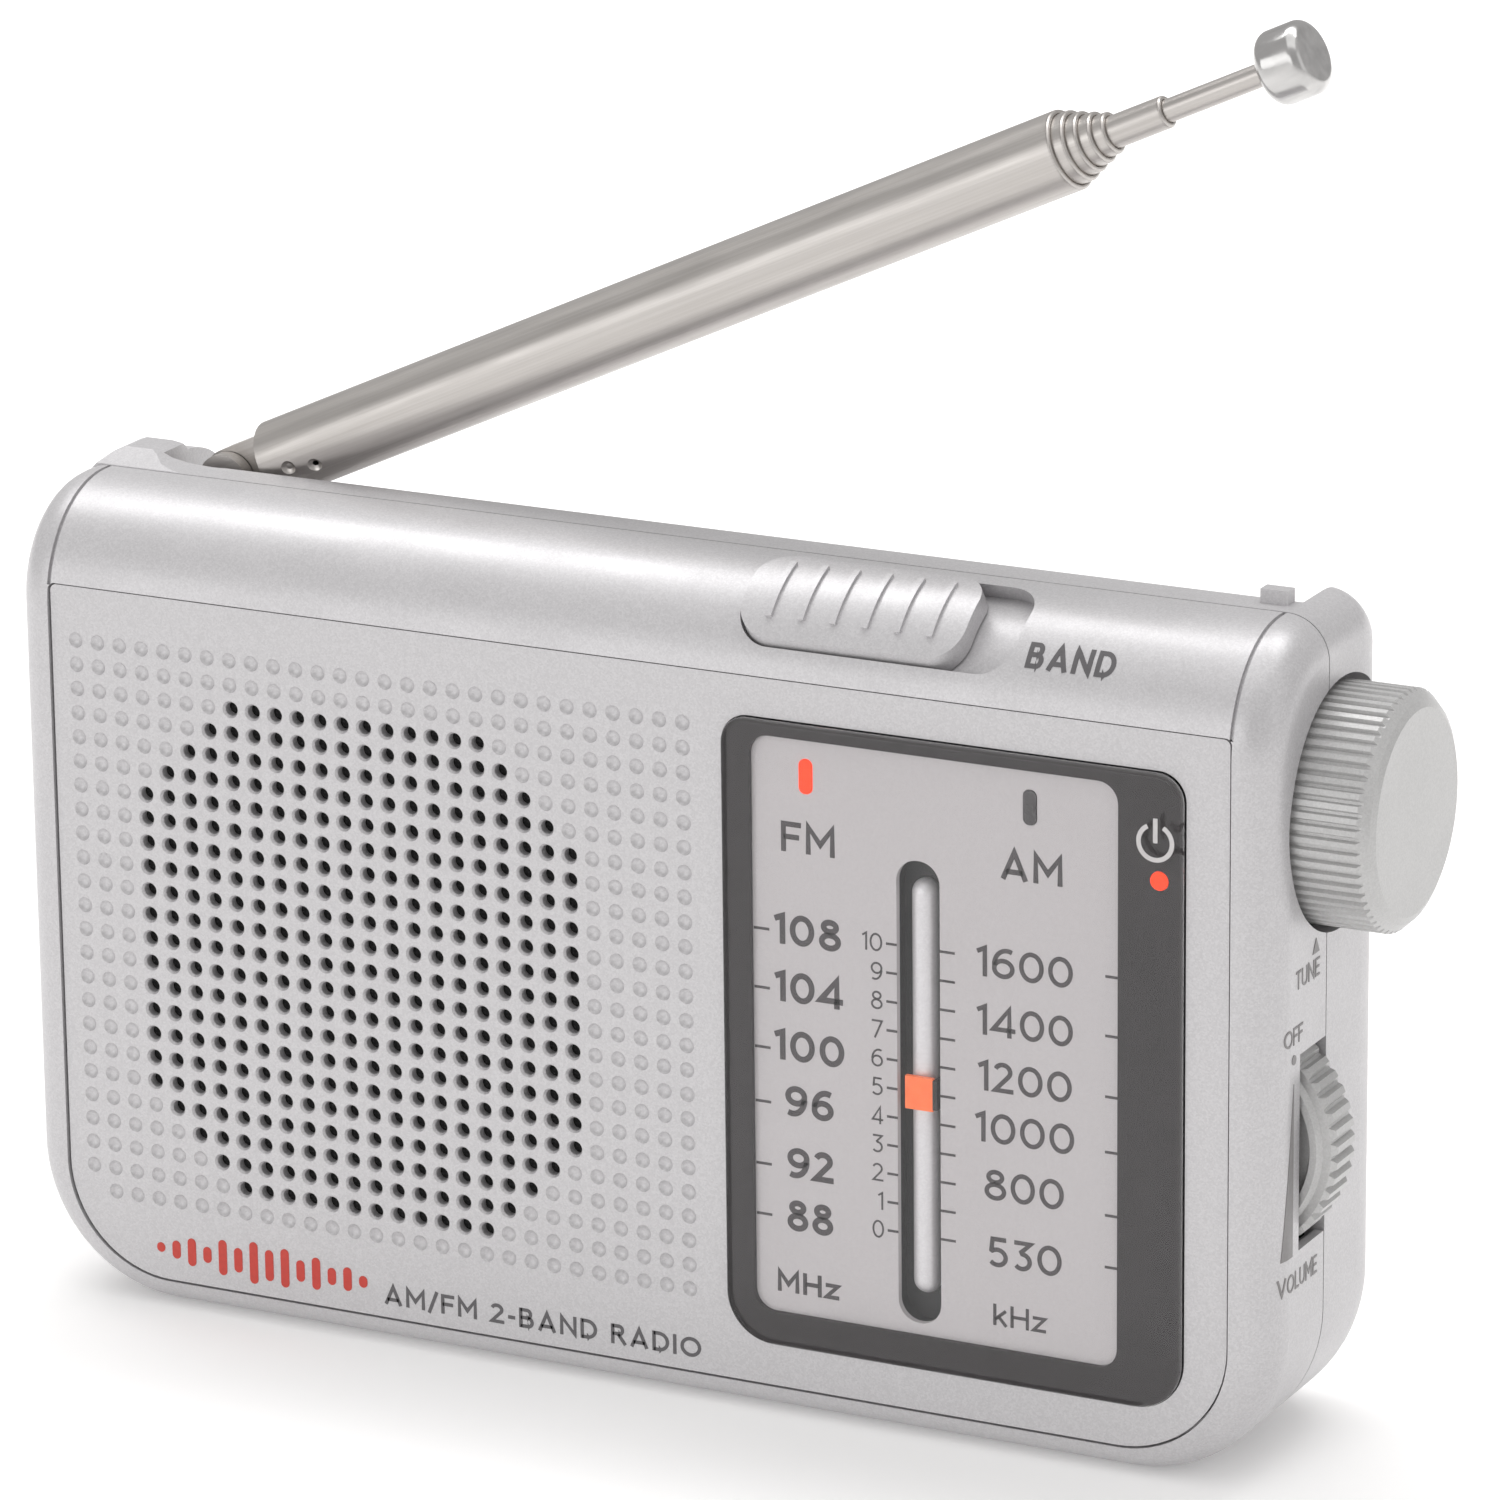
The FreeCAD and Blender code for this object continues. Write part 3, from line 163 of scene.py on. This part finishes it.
def brushed_metal(name, low, high, roughness, turn=0.0, along=40, across=5200):
    """Drawn metal: fine lines that run along X once turned."""
    look = Look(name, high, 1.0, roughness)
    lines = look.noise(1.0, 3, look.stretched((along, across, across), turn))
    look.colour(lines, (0.3, low), (0.7, high))
    look.rough(look.noise(1.0, 4, look.stretched((along * 3, across / 4, across / 4), turn)),
               roughness - 0.05,
               roughness + 0.08)
    look.bump(lines, 0.003, 0.25)
    return look


def moulded(name, low, high, roughness, grain=3200, depth=0.012, **sockets):
    """Moulded plastic with a fine spark-eroded grain."""
    look = Look(name, high, 0.0, roughness, **sockets)
    look.colour(look.noise(420, 3), (0.3, low), (0.7, high))
    look.rough(look.noise(1300, 2), roughness - 0.05, roughness + 0.06)
    look.bump(look.noise(grain, 2), depth, 0.4)
    return look


def lit(name, low, high, glow, strength, roughness=0.25):
    """Coloured plastic with an emission glow: for the lamp, a light pipe with light behind it; for the dial
    pointer, which has no lamp, the glow is painted light.
    """
    look = Look(name, high, 0.0, roughness, Emission_Color=(*glow, 1), Emission_Strength=strength,
                Specular_IOR_Level=0.2)
    look.colour(look.noise(900, 2), (0.3, low), (0.7, high))
    return look


def clear_lens():
    look = Look("clear_acrylic", (0.97, 0.97, 0.975), 0.0, 0.02, Transmission_Weight=1.0, IOR=1.38)
    look.rough(look.noise(300, 2), 0.008, 0.03)
    nodes = look.tree.nodes
    through = nodes.new("ShaderNodeBsdfTransparent")
    rays = nodes.new("ShaderNodeLightPath")
    mix = nodes.new("ShaderNodeMixShader")
    look.link(rays.outputs["Is Shadow Ray"], mix.inputs[0])
    look.link(look.shader.outputs[0], mix.inputs[1])
    look.link(through.outputs[0], mix.inputs[2])
    look.link(mix.outputs[0], nodes["Material Output"].inputs["Surface"])
    return look


def looks():
    made = {
        "silver_plastic": satin_silver("satin_silver", (0.525, 0.515, 0.525), (0.605, 0.595, 0.605), 0.35,
                                       0.38),
        "knob_plastic": satin_silver("satin_silver_light", grey(0.47, 0.006), grey(0.53, 0.006), 0.3, 0.36),
        "clear_lens": clear_lens(),
        "charcoal_print": moulded("charcoal_gloss", (0.036, 0.031, 0.032), (0.042, 0.036, 0.038), 0.4,
                                  2400, 0.0002,
                                  Specular_IOR_Level=0.15),
        # the scale plate's emission is a painted glow that brightens it behind the lens; no lamp lights the
        # plate
        "scale_print": satin_silver("scale_silver_painted_glow", (0.545, 0.515, 0.52), (0.58, 0.55, 0.555), 0.0, 0.5,
                                    Emission_Color=(1.0, 0.955, 0.96, 1), Emission_Strength=0.06),
        "black_plastic": moulded("black_moulding", (0.012, 0.012, 0.013), (0.022, 0.021, 0.022), 0.5),
        "rail_metal": satin_silver("rail_silver", (0.76, 0.74, 0.75), (0.83, 0.81, 0.82), 0.35, 0.34),
        # the dial pointer has no lamp behind it: its emission is a painted glow
        "orange_plastic": lit("pointer_orange_painted_glow", (0.9, 0.17, 0.055), (1.0, 0.22, 0.08), (1.0, 0.2, 0.06),
                              0.25),
        "lamp_orange": lit("lamp_orange", (0.9, 0.035, 0.002), (1.0, 0.05, 0.004), (1.0, 0.045, 0.002), 0.75),
        "lamp_grey": moulded("lamp_unlit", (0.048, 0.044, 0.046), (0.064, 0.058, 0.061), 0.25, 1500, 0.004),
        "led_body": moulded("led_epoxy", (0.78, 0.72, 0.55), (0.86, 0.8, 0.62), 0.2),
        "circuit_board": moulded("board_lacquer", (0.01, 0.07, 0.03), (0.02, 0.11, 0.05), 0.3),
        "gear_plastic": moulded("natural_nylon", (0.62, 0.6, 0.54), (0.72, 0.7, 0.64), 0.45),
        "steel": brushed_metal("plated_steel", grey(0.46), grey(0.6), 0.32),
        "magnet": moulded("dark_magnet", (0.03, 0.03, 0.032), (0.05, 0.05, 0.052), 0.4, Metallic=0.6),
        "paper_cone": moulded("pressed_paper", (0.012, 0.012, 0.012), (0.03, 0.03, 0.03), 0.85, 1500, 0.05),
        "black_cloth": woven(),
        "cell_wrap": cell_wrap(),
        "ferrite": moulded("ferrite", (0.02, 0.02, 0.022), (0.04, 0.04, 0.042), 0.6),
        "copper_wire": brushed_metal("copper_winding", (0.55, 0.2, 0.09), (0.75, 0.33, 0.17), 0.3, 0.0,
                                     3000, 100),
        "capacitor_sleeve": moulded("capacitor_sleeve", (0.01, 0.012, 0.05), (0.015, 0.02, 0.08), 0.25),
        "antenna_nickel": brushed_metal("drawn_nickel", (0.50, 0.475, 0.452), (0.565, 0.54, 0.518), 0.36,
                                        TILT),
        "antenna_chrome": brushed_metal("polished_tip", grey(0.5, 0.012), grey(0.62, 0.012), 0.2, TILT,
                                        200, 900),
    }
    return {slot: look.material for slot, look in made.items()}


def woven():
    look = Look("black_cloth", (0.02, 0.02, 0.02), 0.0, 0.9, Sheen_Weight=0.2)
    weave = look.tree.nodes.new("ShaderNodeMath")
    weave.operation = "MULTIPLY"
    look.link(look.wave(900, "X"), weave.inputs[0])
    look.link(look.wave(900, "Z"), weave.inputs[1])
    look.colour(weave.outputs[0], (0.0, (0.004, 0.004, 0.004)), (1.0, (0.02, 0.02, 0.021)))
    look.bump(weave.outputs[0], 0.05, 0.8)
    return look


def cell_wrap():
    """A dry cell's wrapper: dark, with a copper-coloured band at one end."""
    look = Look("cell_wrapper", (0.03, 0.03, 0.035), 0.3, 0.25)
    split = look.tree.nodes.new("ShaderNodeSeparateXYZ")
    look.link(look.place, split.inputs[0])
    spread = look.tree.nodes.new("ShaderNodeMapRange")
    spread.inputs["From Min"].default_value = -14 * MM
    spread.inputs["From Max"].default_value = 36 * MM
    look.link(split.outputs["X"], spread.inputs["Value"])
    look.colour(spread.outputs["Result"], (0.0, (0.03, 0.03, 0.035)), (0.62, (0.035, 0.034, 0.04)),
                (0.66, (0.5, 0.27, 0.13)), (0.97, (0.55, 0.3, 0.15)), (1.0, (0.6, 0.6, 0.6)))
    look.rough(look.noise(500, 2), 0.2, 0.3)
    return look


LOOKS = looks()
for part in frame["record"]["subparts"]:
    materials = NODES[part["node"]].data.materials
    materials.clear()
    materials.append(LOOKS[part["material_slot"]])


def ink(name, colour, roughness=0.45):
    look = Look(name, colour, 0.0, roughness)
    low = tuple(0.9 * c for c in colour)
    look.colour(look.noise(2200, 2), (0.3, low), (0.7, colour))
    look.rough(look.noise(700, 2), roughness - 0.05, roughness + 0.05)
    return look.material


# Printing: pen strokes of an even width, laid on a surface as a thin raised film

def arc(cx, cy, rx, ry, start, end, steps=14):
    """Points on an ellipse between two angles in degrees."""
    turn = [math.radians(start + (end - start) * i / steps) for i in range(steps + 1)]
    return [(cx + rx * math.cos(a), cy + ry * math.sin(a)) for a in turn]


def ring(cx, cy, rx, ry):
    return ("closed", arc(cx, cy, rx, ry, 90, 430, 30))


def glyph(sign, m):
    """(width, strokes) for a capital height of 1; m is half the pen's width."""
    top, x_high = 1 - m, 0.72 - m
    if sign == "0":
        return 0.78, [ring(0.39, 0.5, 0.39 - m, 0.5 - m)]
    if sign == "1":
        return 0.36, [[(0.03, 0.80), (0.27, top), (0.27, 0)]]
    if sign == "2":
        curve = arc(0.30, 0.70, 0.27 - m / 2, 0.30 - m, 160, -42)
        return 0.64, [curve + [(0.06, m), (0.63, m)]]
    if sign == "3":
        bowl = arc(0.29, 0.32, 0.32 - m, 0.32 - m, 88, -142)
        return 0.64, [[(0.05, top), (0.56, top), (0.27, 0.63)] + bowl]
    if sign == "4":
        return 0.76, [[(0.56, 0), (0.56, top), (0.05, 0.24), (0.75, 0.24)]]
    if sign == "5":
        bowl = arc(0.30, 0.33, 0.34 - m, 0.33 - m, 128, -142)
        return 0.66, [[(0.58, top), (0.15, top), (0.11, 0.55)] + bowl]
    if sign in "69":
        tail = arc(0.47, 0.42, 0.47 - m, 0.58 - m, 180, 66)
        strokes = [ring(0.36, 0.33, 0.36 - m, 0.33 - m), tail]
        if sign == "9":
            strokes = [turned_stroke(s, 0.72) for s in strokes]
        return 0.72, strokes
    if sign == "7":
        return 0.62, [[(0.03, top), (0.58, top), (0.19, 0)]]
    if sign == "8":
        return 0.70, [ring(0.35, 0.755, 0.29 - m, 0.245 - m), ring(0.35, 0.285, 0.35 - m,
                                                                   0.285 - m + m * 0.2)]
    if sign == "F":
        return 0.62, [[(m, 0), (m, top), (0.62, top)], [(m, 0.50), (0.56, 0.50)]]
    if sign == "M":
        return 0.90, [[(m, 0), (m, top), (0.45, 0.36), (0.90 - m, top), (0.90 - m, 0)]]
    if sign == "A":
        return 0.86, [[(m, 0), (0.43, top), (0.86 - m, 0)], [(0.17, 0.26), (0.69, 0.26)]]
    if sign == "H":
        return 0.78, [[(m, 0), (m, 1)], [(0.78 - m, 0), (0.78 - m, 1)], [(m, 0.5), (0.78 - m, 0.5)]]
    if sign == "z":
        return 0.56, [[(0.02, x_high), (0.51, x_high), (0.05, m), (0.56, m)]]
    if sign == "k":
        return 0.58, [[(m, 0), (m, 1)], [(0.53, 0.72), (m, 0.27)], [(0.22, 0.43), (0.55, 0)]]
    if sign in "BPR":
        upper = [(m, 0.52), (0.38, 0.52)] + arc(0.38, 0.76 - m / 2, 0.24 - m, 0.24 - m / 2, -90, 90) + [(m,
                                                                                                         top)]
        strokes = [[(m, 0), (m, 1)], upper]
        if sign == "B":
            strokes.append([(m, m), (0.42, m)] + arc(0.42, 0.26 + m / 2, 0.27 - m, 0.26 - m / 2, -90, 90))
        if sign == "R":
            strokes.append([(0.34, 0.50), (0.66, 0)])
        return 0.70, strokes
    if sign == "N":
        return 0.78, [[(m, 0), (m, top), (0.78 - m, m), (0.78 - m, 1)]]
    if sign == "D":
        return 0.78, [[(m, m), (0.32, m)] + arc(0.32, 0.5, 0.46 - m, 0.5 - m, -90, 90) + [(m, top)],
                      [(m, 0), (m, 1)]]
    if sign == "T":
        return 0.66, [[(0, top), (0.66, top)], [(0.33, 0), (0.33, top)]]
    if sign == "U":
        return 0.74, [[(m, 1)] + arc(0.37, 0.36, 0.37 - m, 0.36 - m, 180, 360) + [(0.74 - m, 1)]]
    if sign == "E":
        return 0.60, [[(0.60, top), (m, top), (m, m), (0.60, m)], [(m, 0.51), (0.54, 0.51)]]
    if sign == "L":
        return 0.56, [[(m, 1), (m, m), (0.56, m)]]
    if sign == "V":
        return 0.80, [[(m, 1), (0.40, m), (0.80 - m, 1)]]
    if sign == "O":
        return 0.96, [ring(0.48, 0.5, 0.48 - m, 0.5 - m)]
    if sign == "I":
        return 2 * m, [[(m, 0), (m, 1)]]
    if sign == "/":
        return 0.42, [[(0.02, -0.08), (0.40, 1.05)]]
    if sign == "-":
        return 0.36, [[(0.02, 0.42), (0.34, 0.42)]]
    return 0.30, []


def turned_stroke(stroke, width):
    if stroke[0] == "closed":
        return ("closed", [(width - x, 1 - y) for x, y in stroke[1]])
    return [(width - x, 1 - y) for x, y in stroke]


class Print:
    """A film of ink on a surface. place(u, v, lift) turns flat millimetres into a point of the model."""

    def __init__(self, place, film=0.03, longest=9.0):
        self.place, self.film, self.longest = place, film, longest
        self.points, self.faces = [], []

    def strip(self, left, right, closed):
        first, count = len(self.points), len(left)
        for a, b in zip(left, right):
            self.points += [self.place(*a, self.film), self.place(*b, self.film), self.place(*b, 0),
                            self.place(*a, 0)]
        for i in range(count if closed else count - 1):
            here, there = first + 4 * i, first + 4 * ((i + 1) % count)
            for k in range(4):
                n = (k + 1) % 4
                self.faces.append((here + k, here + n, there + n, there + k))
        if not closed:
            last = first + 4 * (count - 1)
            self.faces += [(first + 3, first + 2, first + 1, first), (last, last + 1, last + 2, last + 3)]

    def divided(self, points, closed):
        """The same line with no piece longer than the film can span on a curved surface."""
        fine = []
        for start, end in zip(points, points[1:] + (points[:1] if closed else [])):
            steps = max(1, math.ceil((end - start).length / self.longest))
            fine += [start.lerp(end, i / steps) for i in range(steps)]
        return fine if closed else fine + [points[-1]]

    def stroke(self, points, width, closed=False):
        """A pen stroke with square ends and mitred bends."""
        flat = self.divided([Vector(p) for p in points], closed)
        count, half = len(flat), width / 2
        left, right = [], []
        for i, point in enumerate(flat):
            before = flat[i - 1] if i or closed else None
            after = flat[(i + 1) % count] if i < count - 1 or closed else None
            ways = [w.normalized() for w in ((point - before) if before else None,
                                             (after - point) if after else None)
                    if w is not None]
            normals = [Vector((-w.y, w.x)) for w in ways]
            mean = sum(normals, Vector((0, 0))).normalized()
            reach = half / max(mean.dot(normals[0]), 0.42)
            left.append(point + mean * reach)
            right.append(point - mean * reach)
        self.strip(left, right, closed)

    def write(self, text, u0, u1, v0, v1, pen, gap=0.13):
        """Text fitted between u0 and u1, on the baseline v0, with capitals up to v1."""
        high = v1 - v0
        glyphs = [glyph(sign, pen / 2 / high) for sign in text]
        natural = sum(width for width, _ in glyphs) + gap * (len(text) - 1)
        across = (u1 - u0) / natural
        at = 0.0
        for width, strokes in glyphs:
            for stroke in strokes:
                closed = stroke[0] == "closed"
                points = stroke[1] if closed else stroke
                self.stroke([(u0 + (at + x) * across, v0 + y * high) for x, y in points], pen, closed)
            at += width + gap

    def disc(self, u, v, radius, steps=24):
        self.fill(arc(u, v, radius, radius, 0, 360 - 360 / steps, steps - 1))

    def fill(self, outline):
        first, count = len(self.points), len(outline)
        self.points += [self.place(*p, lift) for lift in (self.film, 0) for p in outline]
        self.faces.append(tuple(range(first, first + count)))
        self.faces.append(tuple(range(first + 2 * count - 1, first + count - 1, -1)))
        for i in range(count):
            n = (i + 1) % count
            self.faces.append((first + n, first + i, first + count + i, first + count + n))

    def build(self, name, material, body="cabinet"):
        return solid(name, self.points, self.faces, material, body)


def solid(name, points, faces, material, body, smooth=False, weld=False):
    mesh = bpy.data.meshes.new(name)
    mesh.from_pydata([Vector(p) * MM for p in points], [], faces)
    shape = bmesh.new()
    shape.from_mesh(mesh)
    if weld:
        bmesh.ops.remove_doubles(shape, verts=shape.verts, dist=1e-7)
        bmesh.ops.dissolve_degenerate(shape, edges=shape.edges, dist=1e-7)
    bmesh.ops.recalc_face_normals(shape, faces=shape.faces)
    shape.to_mesh(mesh)
    shape.free()
    mesh.materials.append(material)
    piece = bpy.data.objects.new(name, mesh)
    bpy.context.scene.collection.objects.link(piece)
    if smooth:
        for polygon in mesh.polygons:
            polygon.use_smooth = True
    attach(piece, body)
    return piece


def on_front(depth):
    """A flat surface that faces the front, at a depth behind the front plane."""
    return lambda u, v, lift: (u, FRONT_Y + depth - lift, v)


def on_side(u, v, lift):
    """The right-hand side and its rounded front edge: u is the depth behind the front plane."""
    if u >= EDGE_RADIUS:
        return (SIDE_X + lift, FRONT_Y + u, v)
    short = EDGE_RADIUS - u
    across = math.sqrt(EDGE_RADIUS ** 2 - short ** 2)
    grow = 1 + lift / EDGE_RADIUS
    return (SIDE_X - EDGE_RADIUS + across * grow, FRONT_Y + EDGE_RADIUS - short * grow, v)


def on_brow(u, v, lift):
    """The rounded brow: v is the length of arc above the front face."""
    angle, radius = v / BROW_RADIUS, BROW_RADIUS + lift
    return (u, FRONT_Y + BROW_RADIUS - radius * math.cos(angle),
            BODY_TOP - BROW_RADIUS + radius * math.sin(angle))


INK = ink("ink_charcoal", (0.066, 0.056, 0.060))
INK_GREY = ink("ink_grey", (0.115, 0.110, 0.115))
INK_PALE = ink("ink_pale", (0.62, 0.60, 0.60))
INK_RED = ink("ink_red", (0.58, 0.048, 0.032), 0.38)
INK_FAINT = ink("ink_faint", (0.26, 0.25, 0.25))

SCALE_DEPTH = 1.3
LENS_DEPTH = -0.4
PANEL_DEPTH = 0.25


def dial_numbers():
    bold = Print(on_front(SCALE_DEPTH))
    bold.write("FM", 14.67, 19.76, 50.51, 53.17, 0.46)
    bold.write("AM", 34.97, 40.70, 50.83, 53.45, 0.46)
    bold.write("MHz", 13.94, 19.80, 11.10, 13.07, 0.37)
    for text, left, right, low in (
            ("108", 13.94, 20.26, 42.30), ("104", 13.94, 20.40, 37.20), ("100", 13.85, 20.49, 32.00),
            ("96", 14.85, 19.44, 27.05), ("92", 14.99, 19.39, 21.52), ("88", 14.95, 19.30, 16.80)):
        bold.write(text, left, right, low, low + 2.74, 0.52)
    for z in (43.41, 38.18, 32.87, 28.01, 22.42, 17.88):
        bold.stroke([(12.05, z), (13.52, z)], 0.24)
    for z in (43.64, 38.46, 33.14, 28.28, 22.69, 18.11):
        bold.stroke([(44.55, z), (45.90, z)], 0.24)
    bold.build("dial_print_bold", INK)

    medium = Print(on_front(SCALE_DEPTH))
    for text, left, right, low in (
            ("1600", 32.77, 41.62, 42.08), ("1400", 32.77, 41.62, 36.95), ("1200", 32.87, 41.53, 32.04),
            ("1000", 32.59, 41.76, 27.50), ("800", 33.46, 40.80, 22.46), ("530", 33.78, 40.61, 16.50)):
        medium.write(text, left, right, low, low + 2.68, 0.40)
    medium.write("kHz", 34.24, 39.15, 11.28, 13.20, 0.29)
    medium.build("dial_print_medium", INK)

    fine = Print(on_front(SCALE_DEPTH))
    for step in range(11):
        z = 43.68 - 2.549 * (10 - step)
        width = 1.88 if step == 10 else 1.06 if step != 1 else 0.55
        right = 24.07
        fine.write(str(step), right - width, right, z - 0.80, z + 0.80, 0.17)
        fine.stroke([(24.43, z), (25.44, z)], 0.22)
        fine.stroke([(29.38, z), (30.80, z)], 0.22)
    fine.build("dial_print_fine", INK)


def power_symbol():
    mark = Print(on_front(LENS_DEPTH), 0.02)
    mark.stroke(arc(49.6, 56.25, 1.5, 1.5, 118, 422, 40), 0.4)
    mark.stroke([(49.6, 56.2), (49.6, 58.3)], 0.4)
    mark.build("power_symbol", INK_PALE)


def front_marks():
    """A plain row of bars like a level meter, and a line of generic words."""
    bars = Print(on_front(PANEL_DEPTH), 0.04)
    heights = (0.9, 1.7, 2.6, 1.5, 3.3, 2.3, 3.9, 2.9, 3.6, 2.0, 3.0, 1.6, 2.2, 1.1)
    for i, high in enumerate(heights):
        u, half = -46.9 + 1.58 * i, 0.42
        low = 5.62 - high / 2
        outline = arc(u, low + high - half, half, half, 0, 180, 8) + arc(u, low + half, half, half, 180,
                                                                         360, 8)
        bars.fill(outline)
    bars.build("front_mark", INK_RED)
    words = Print(on_front(PANEL_DEPTH), 0.04)
    words.write("AM/FM 2-BAND RADIO", -24.3, 6.9, 3.95, 5.75, 0.31, 0.16)
    words.build("front_words", INK_GREY)


def brow_label():
    label = Print(on_brow, 0.04, 0.3)
    label.write("BAND", 36.9, 44.8, 5.75, 8.1, 0.42, 0.18)
    label.build("band_label", INK_GREY)


def side_labels():
    label = Print(on_side, 0.05, 0.3)
    label.fill([(8.1, 45.5), (9.5, 45.5), (8.8, 46.8)])
    label.write("TUNE", 4.7, 9.6, 43.4, 45.0, 0.20)
    label.write("OFF", 2.68, 6.2, 38.8, 40.3, 0.20)
    label.disc(4.4, 37.5, 0.42)
    volume_wedge(label, 2.5, 4.4, 20.3, 35.4)
    label.write("VOLUME", 2.1, 9.6, 17.2, 18.8, 0.20)
    label.build("side_labels", INK_FAINT)


def volume_wedge(label, left, right, low, high):
    """A wedge that rises to the right, in slices narrow enough to follow the rounded edge."""
    steps, blunt_end = 8, 0.01
    tall = (high - low) / steps
    for i in range(steps):
        a, b = (left + (right - left) * k / steps for k in (i, i + 1))
        start = tall * i if i else blunt_end
        label.fill([(a, low), (b, low), (b, low + tall * (i + 1)), (a, low + start)])


dial_numbers()
power_symbol()
front_marks()
brow_label()
side_labels()


# Antenna: the rolled lip at the end of each tube, and the rounded tip

def lathe(name, profile, material, body, steps=72):
    """A ring turned about the antenna's line; the profile is (distance from the pivot, radius) pairs."""
    along = Vector((math.cos(TILT), 0, math.sin(TILT)))
    across = Vector((-math.sin(TILT), 0, math.cos(TILT)))
    side = Vector((0, 1, 0))
    points, faces, count = [], [], len(profile)
    for step in range(steps):
        a = 2 * math.pi * step / steps
        for distance, radius in profile:
            points.append(PIVOT + along * distance + (across * math.cos(a) + side * math.sin(a)) * radius)
    for step in range(steps):
        here, there = step * count, (step + 1) % steps * count
        for k in range(count):
            n = (k + 1) % count
            faces.append((here + k, there + k, there + n, here + n))
    return solid(name, points, faces, material, body, smooth=True, weld=True)


TUBE_RADII = (3.5, 3.08, 2.66, 2.24, 1.82, 1.4)
TUBE_ENDS = (88.6, 89.7, 90.7, 91.8, 92.9, 98.2)
ROD_RADIUS = 1.0


def rolled_lips():
    for index, (radius, end) in enumerate(zip(TUBE_RADII, TUBE_ENDS)):
        inner = (TUBE_RADII[index + 1] if index < 5 else ROD_RADIUS) + 0.03
        thick = radius - inner
        profile = [(end - 0.02, radius), (end + 0.10, radius - 0.03), (end + 0.2, radius - thick * 0.35),
                   (end + 0.24, radius - thick * 0.7), (end + 0.2, inner), (end - 0.02, inner)]
        body = "mast" if index == 0 else f"section_{index + 1}"
        lathe(f"rolled_lip_{index + 1}", profile, LOOKS["antenna_nickel"], body)


def rounded_tip():
    near, far, radius, edge, socket, deep = 108.3, 112.8, 3.2, 1.1, 1.02, 0.6
    near_edge = [(near + y, x) for x, y in arc(radius - edge, edge, edge, edge, -90, 0, 8)]
    far_edge = [(far - edge + y, x) for x, y in arc(radius - edge, 0, edge, edge, 0, 90, 8)]
    profile = [(near, socket)] + near_edge + far_edge + [(far, 0), (near + deep, 0), (near + deep, socket)]
    tip = lathe("rounded_tip", profile, LOOKS["antenna_chrome"], "rod")
    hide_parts("antenna_tip")


rolled_lips()
rounded_tip()


# Floor, lights and camera

def plain(name, colour, roughness):
    look = Look(name, colour, 0.0, roughness, Emission_Color=(1, 1, 1, 1), Emission_Strength=0.16)
    look.colour(look.noise(3, 2), (0.3, tuple(0.99 * c for c in colour)), (0.7, colour))
    return look.material


def floor():
    """A wide pale floor: seen from any side and any distance, it fills the background."""
    reach = 9.0
    mesh = bpy.data.meshes.new("floor")
    mesh.from_pydata([(-reach, -reach, 0), (reach, -reach, 0), (reach, reach, 0), (-reach, reach, 0)], [],
                     [(0, 1, 2, 3)])
    mesh.materials.append(plain("studio_white", (0.93, 0.925, 0.92), 0.85))
    piece = bpy.data.objects.new("floor", mesh)
    bpy.context.scene.collection.objects.link(piece)


def softbox(name, at, aim, size, power):
    lamp = bpy.data.lights.new(name, "AREA")
    lamp.shape = "RECTANGLE"
    lamp.size, lamp.size_y = size
    lamp.energy = power
    piece = bpy.data.objects.new(name, lamp)
    piece.location = at
    piece.rotation_euler = (Vector(aim) - Vector(at)).to_track_quat("-Z", "Y").to_euler()
    bpy.context.scene.collection.objects.link(piece)


def studio():
    world = bpy.data.worlds.new("studio")
    bpy.context.scene.world = world
    world.use_nodes = True
    background = world.node_tree.nodes["Background"]
    background.inputs["Color"].default_value = (1.0, 0.99, 0.985, 1)
    background.inputs["Strength"].default_value = 0.54
    softbox("key", (-0.45, -1.15, 0.34), (0, 0, 0.03), (1.3, 0.5), 2.9)
    softbox("top", (0.1, -0.20, 1.15), (0, 0, 0.05), (1.3, 1.0), 2.85)
    softbox("side", (0.95, -0.15, 0.45), (0.03, 0, 0.04), (0.5, 0.7), 0.42)
    softbox("backdrop", (-0.3, 0.5, 1.6), (-0.6, 1.8, 0.4), (2.0, 1.0), 40)


CAMERA_AT = (0.31107397, -0.59738451, 0.25856396)
CAMERA_RIGHT = (0.89168695, 0.45252457, -0.01076527)
CAMERA_UP = (-0.12239267, 0.26393167, 0.95674454)
CAMERA_BACK = (0.43579171, -0.85179903, 0.29073011)
LENS_MM = 196.997


def camera():
    data = bpy.data.cameras.new("camera")
    data.lens, data.sensor_width = LENS_MM, 36.0
    data.clip_start, data.clip_end = 0.01, 20
    piece = bpy.data.objects.new("camera", data)
    turn = Matrix((CAMERA_RIGHT, CAMERA_UP, CAMERA_BACK)).transposed().to_4x4()
    piece.matrix_world = Matrix.Translation(CAMERA_AT) @ turn
    bpy.context.scene.collection.objects.link(piece)
    bpy.context.scene.camera = piece


floor()
studio()
camera()
bpy.context.scene.view_settings.view_transform = "Standard"
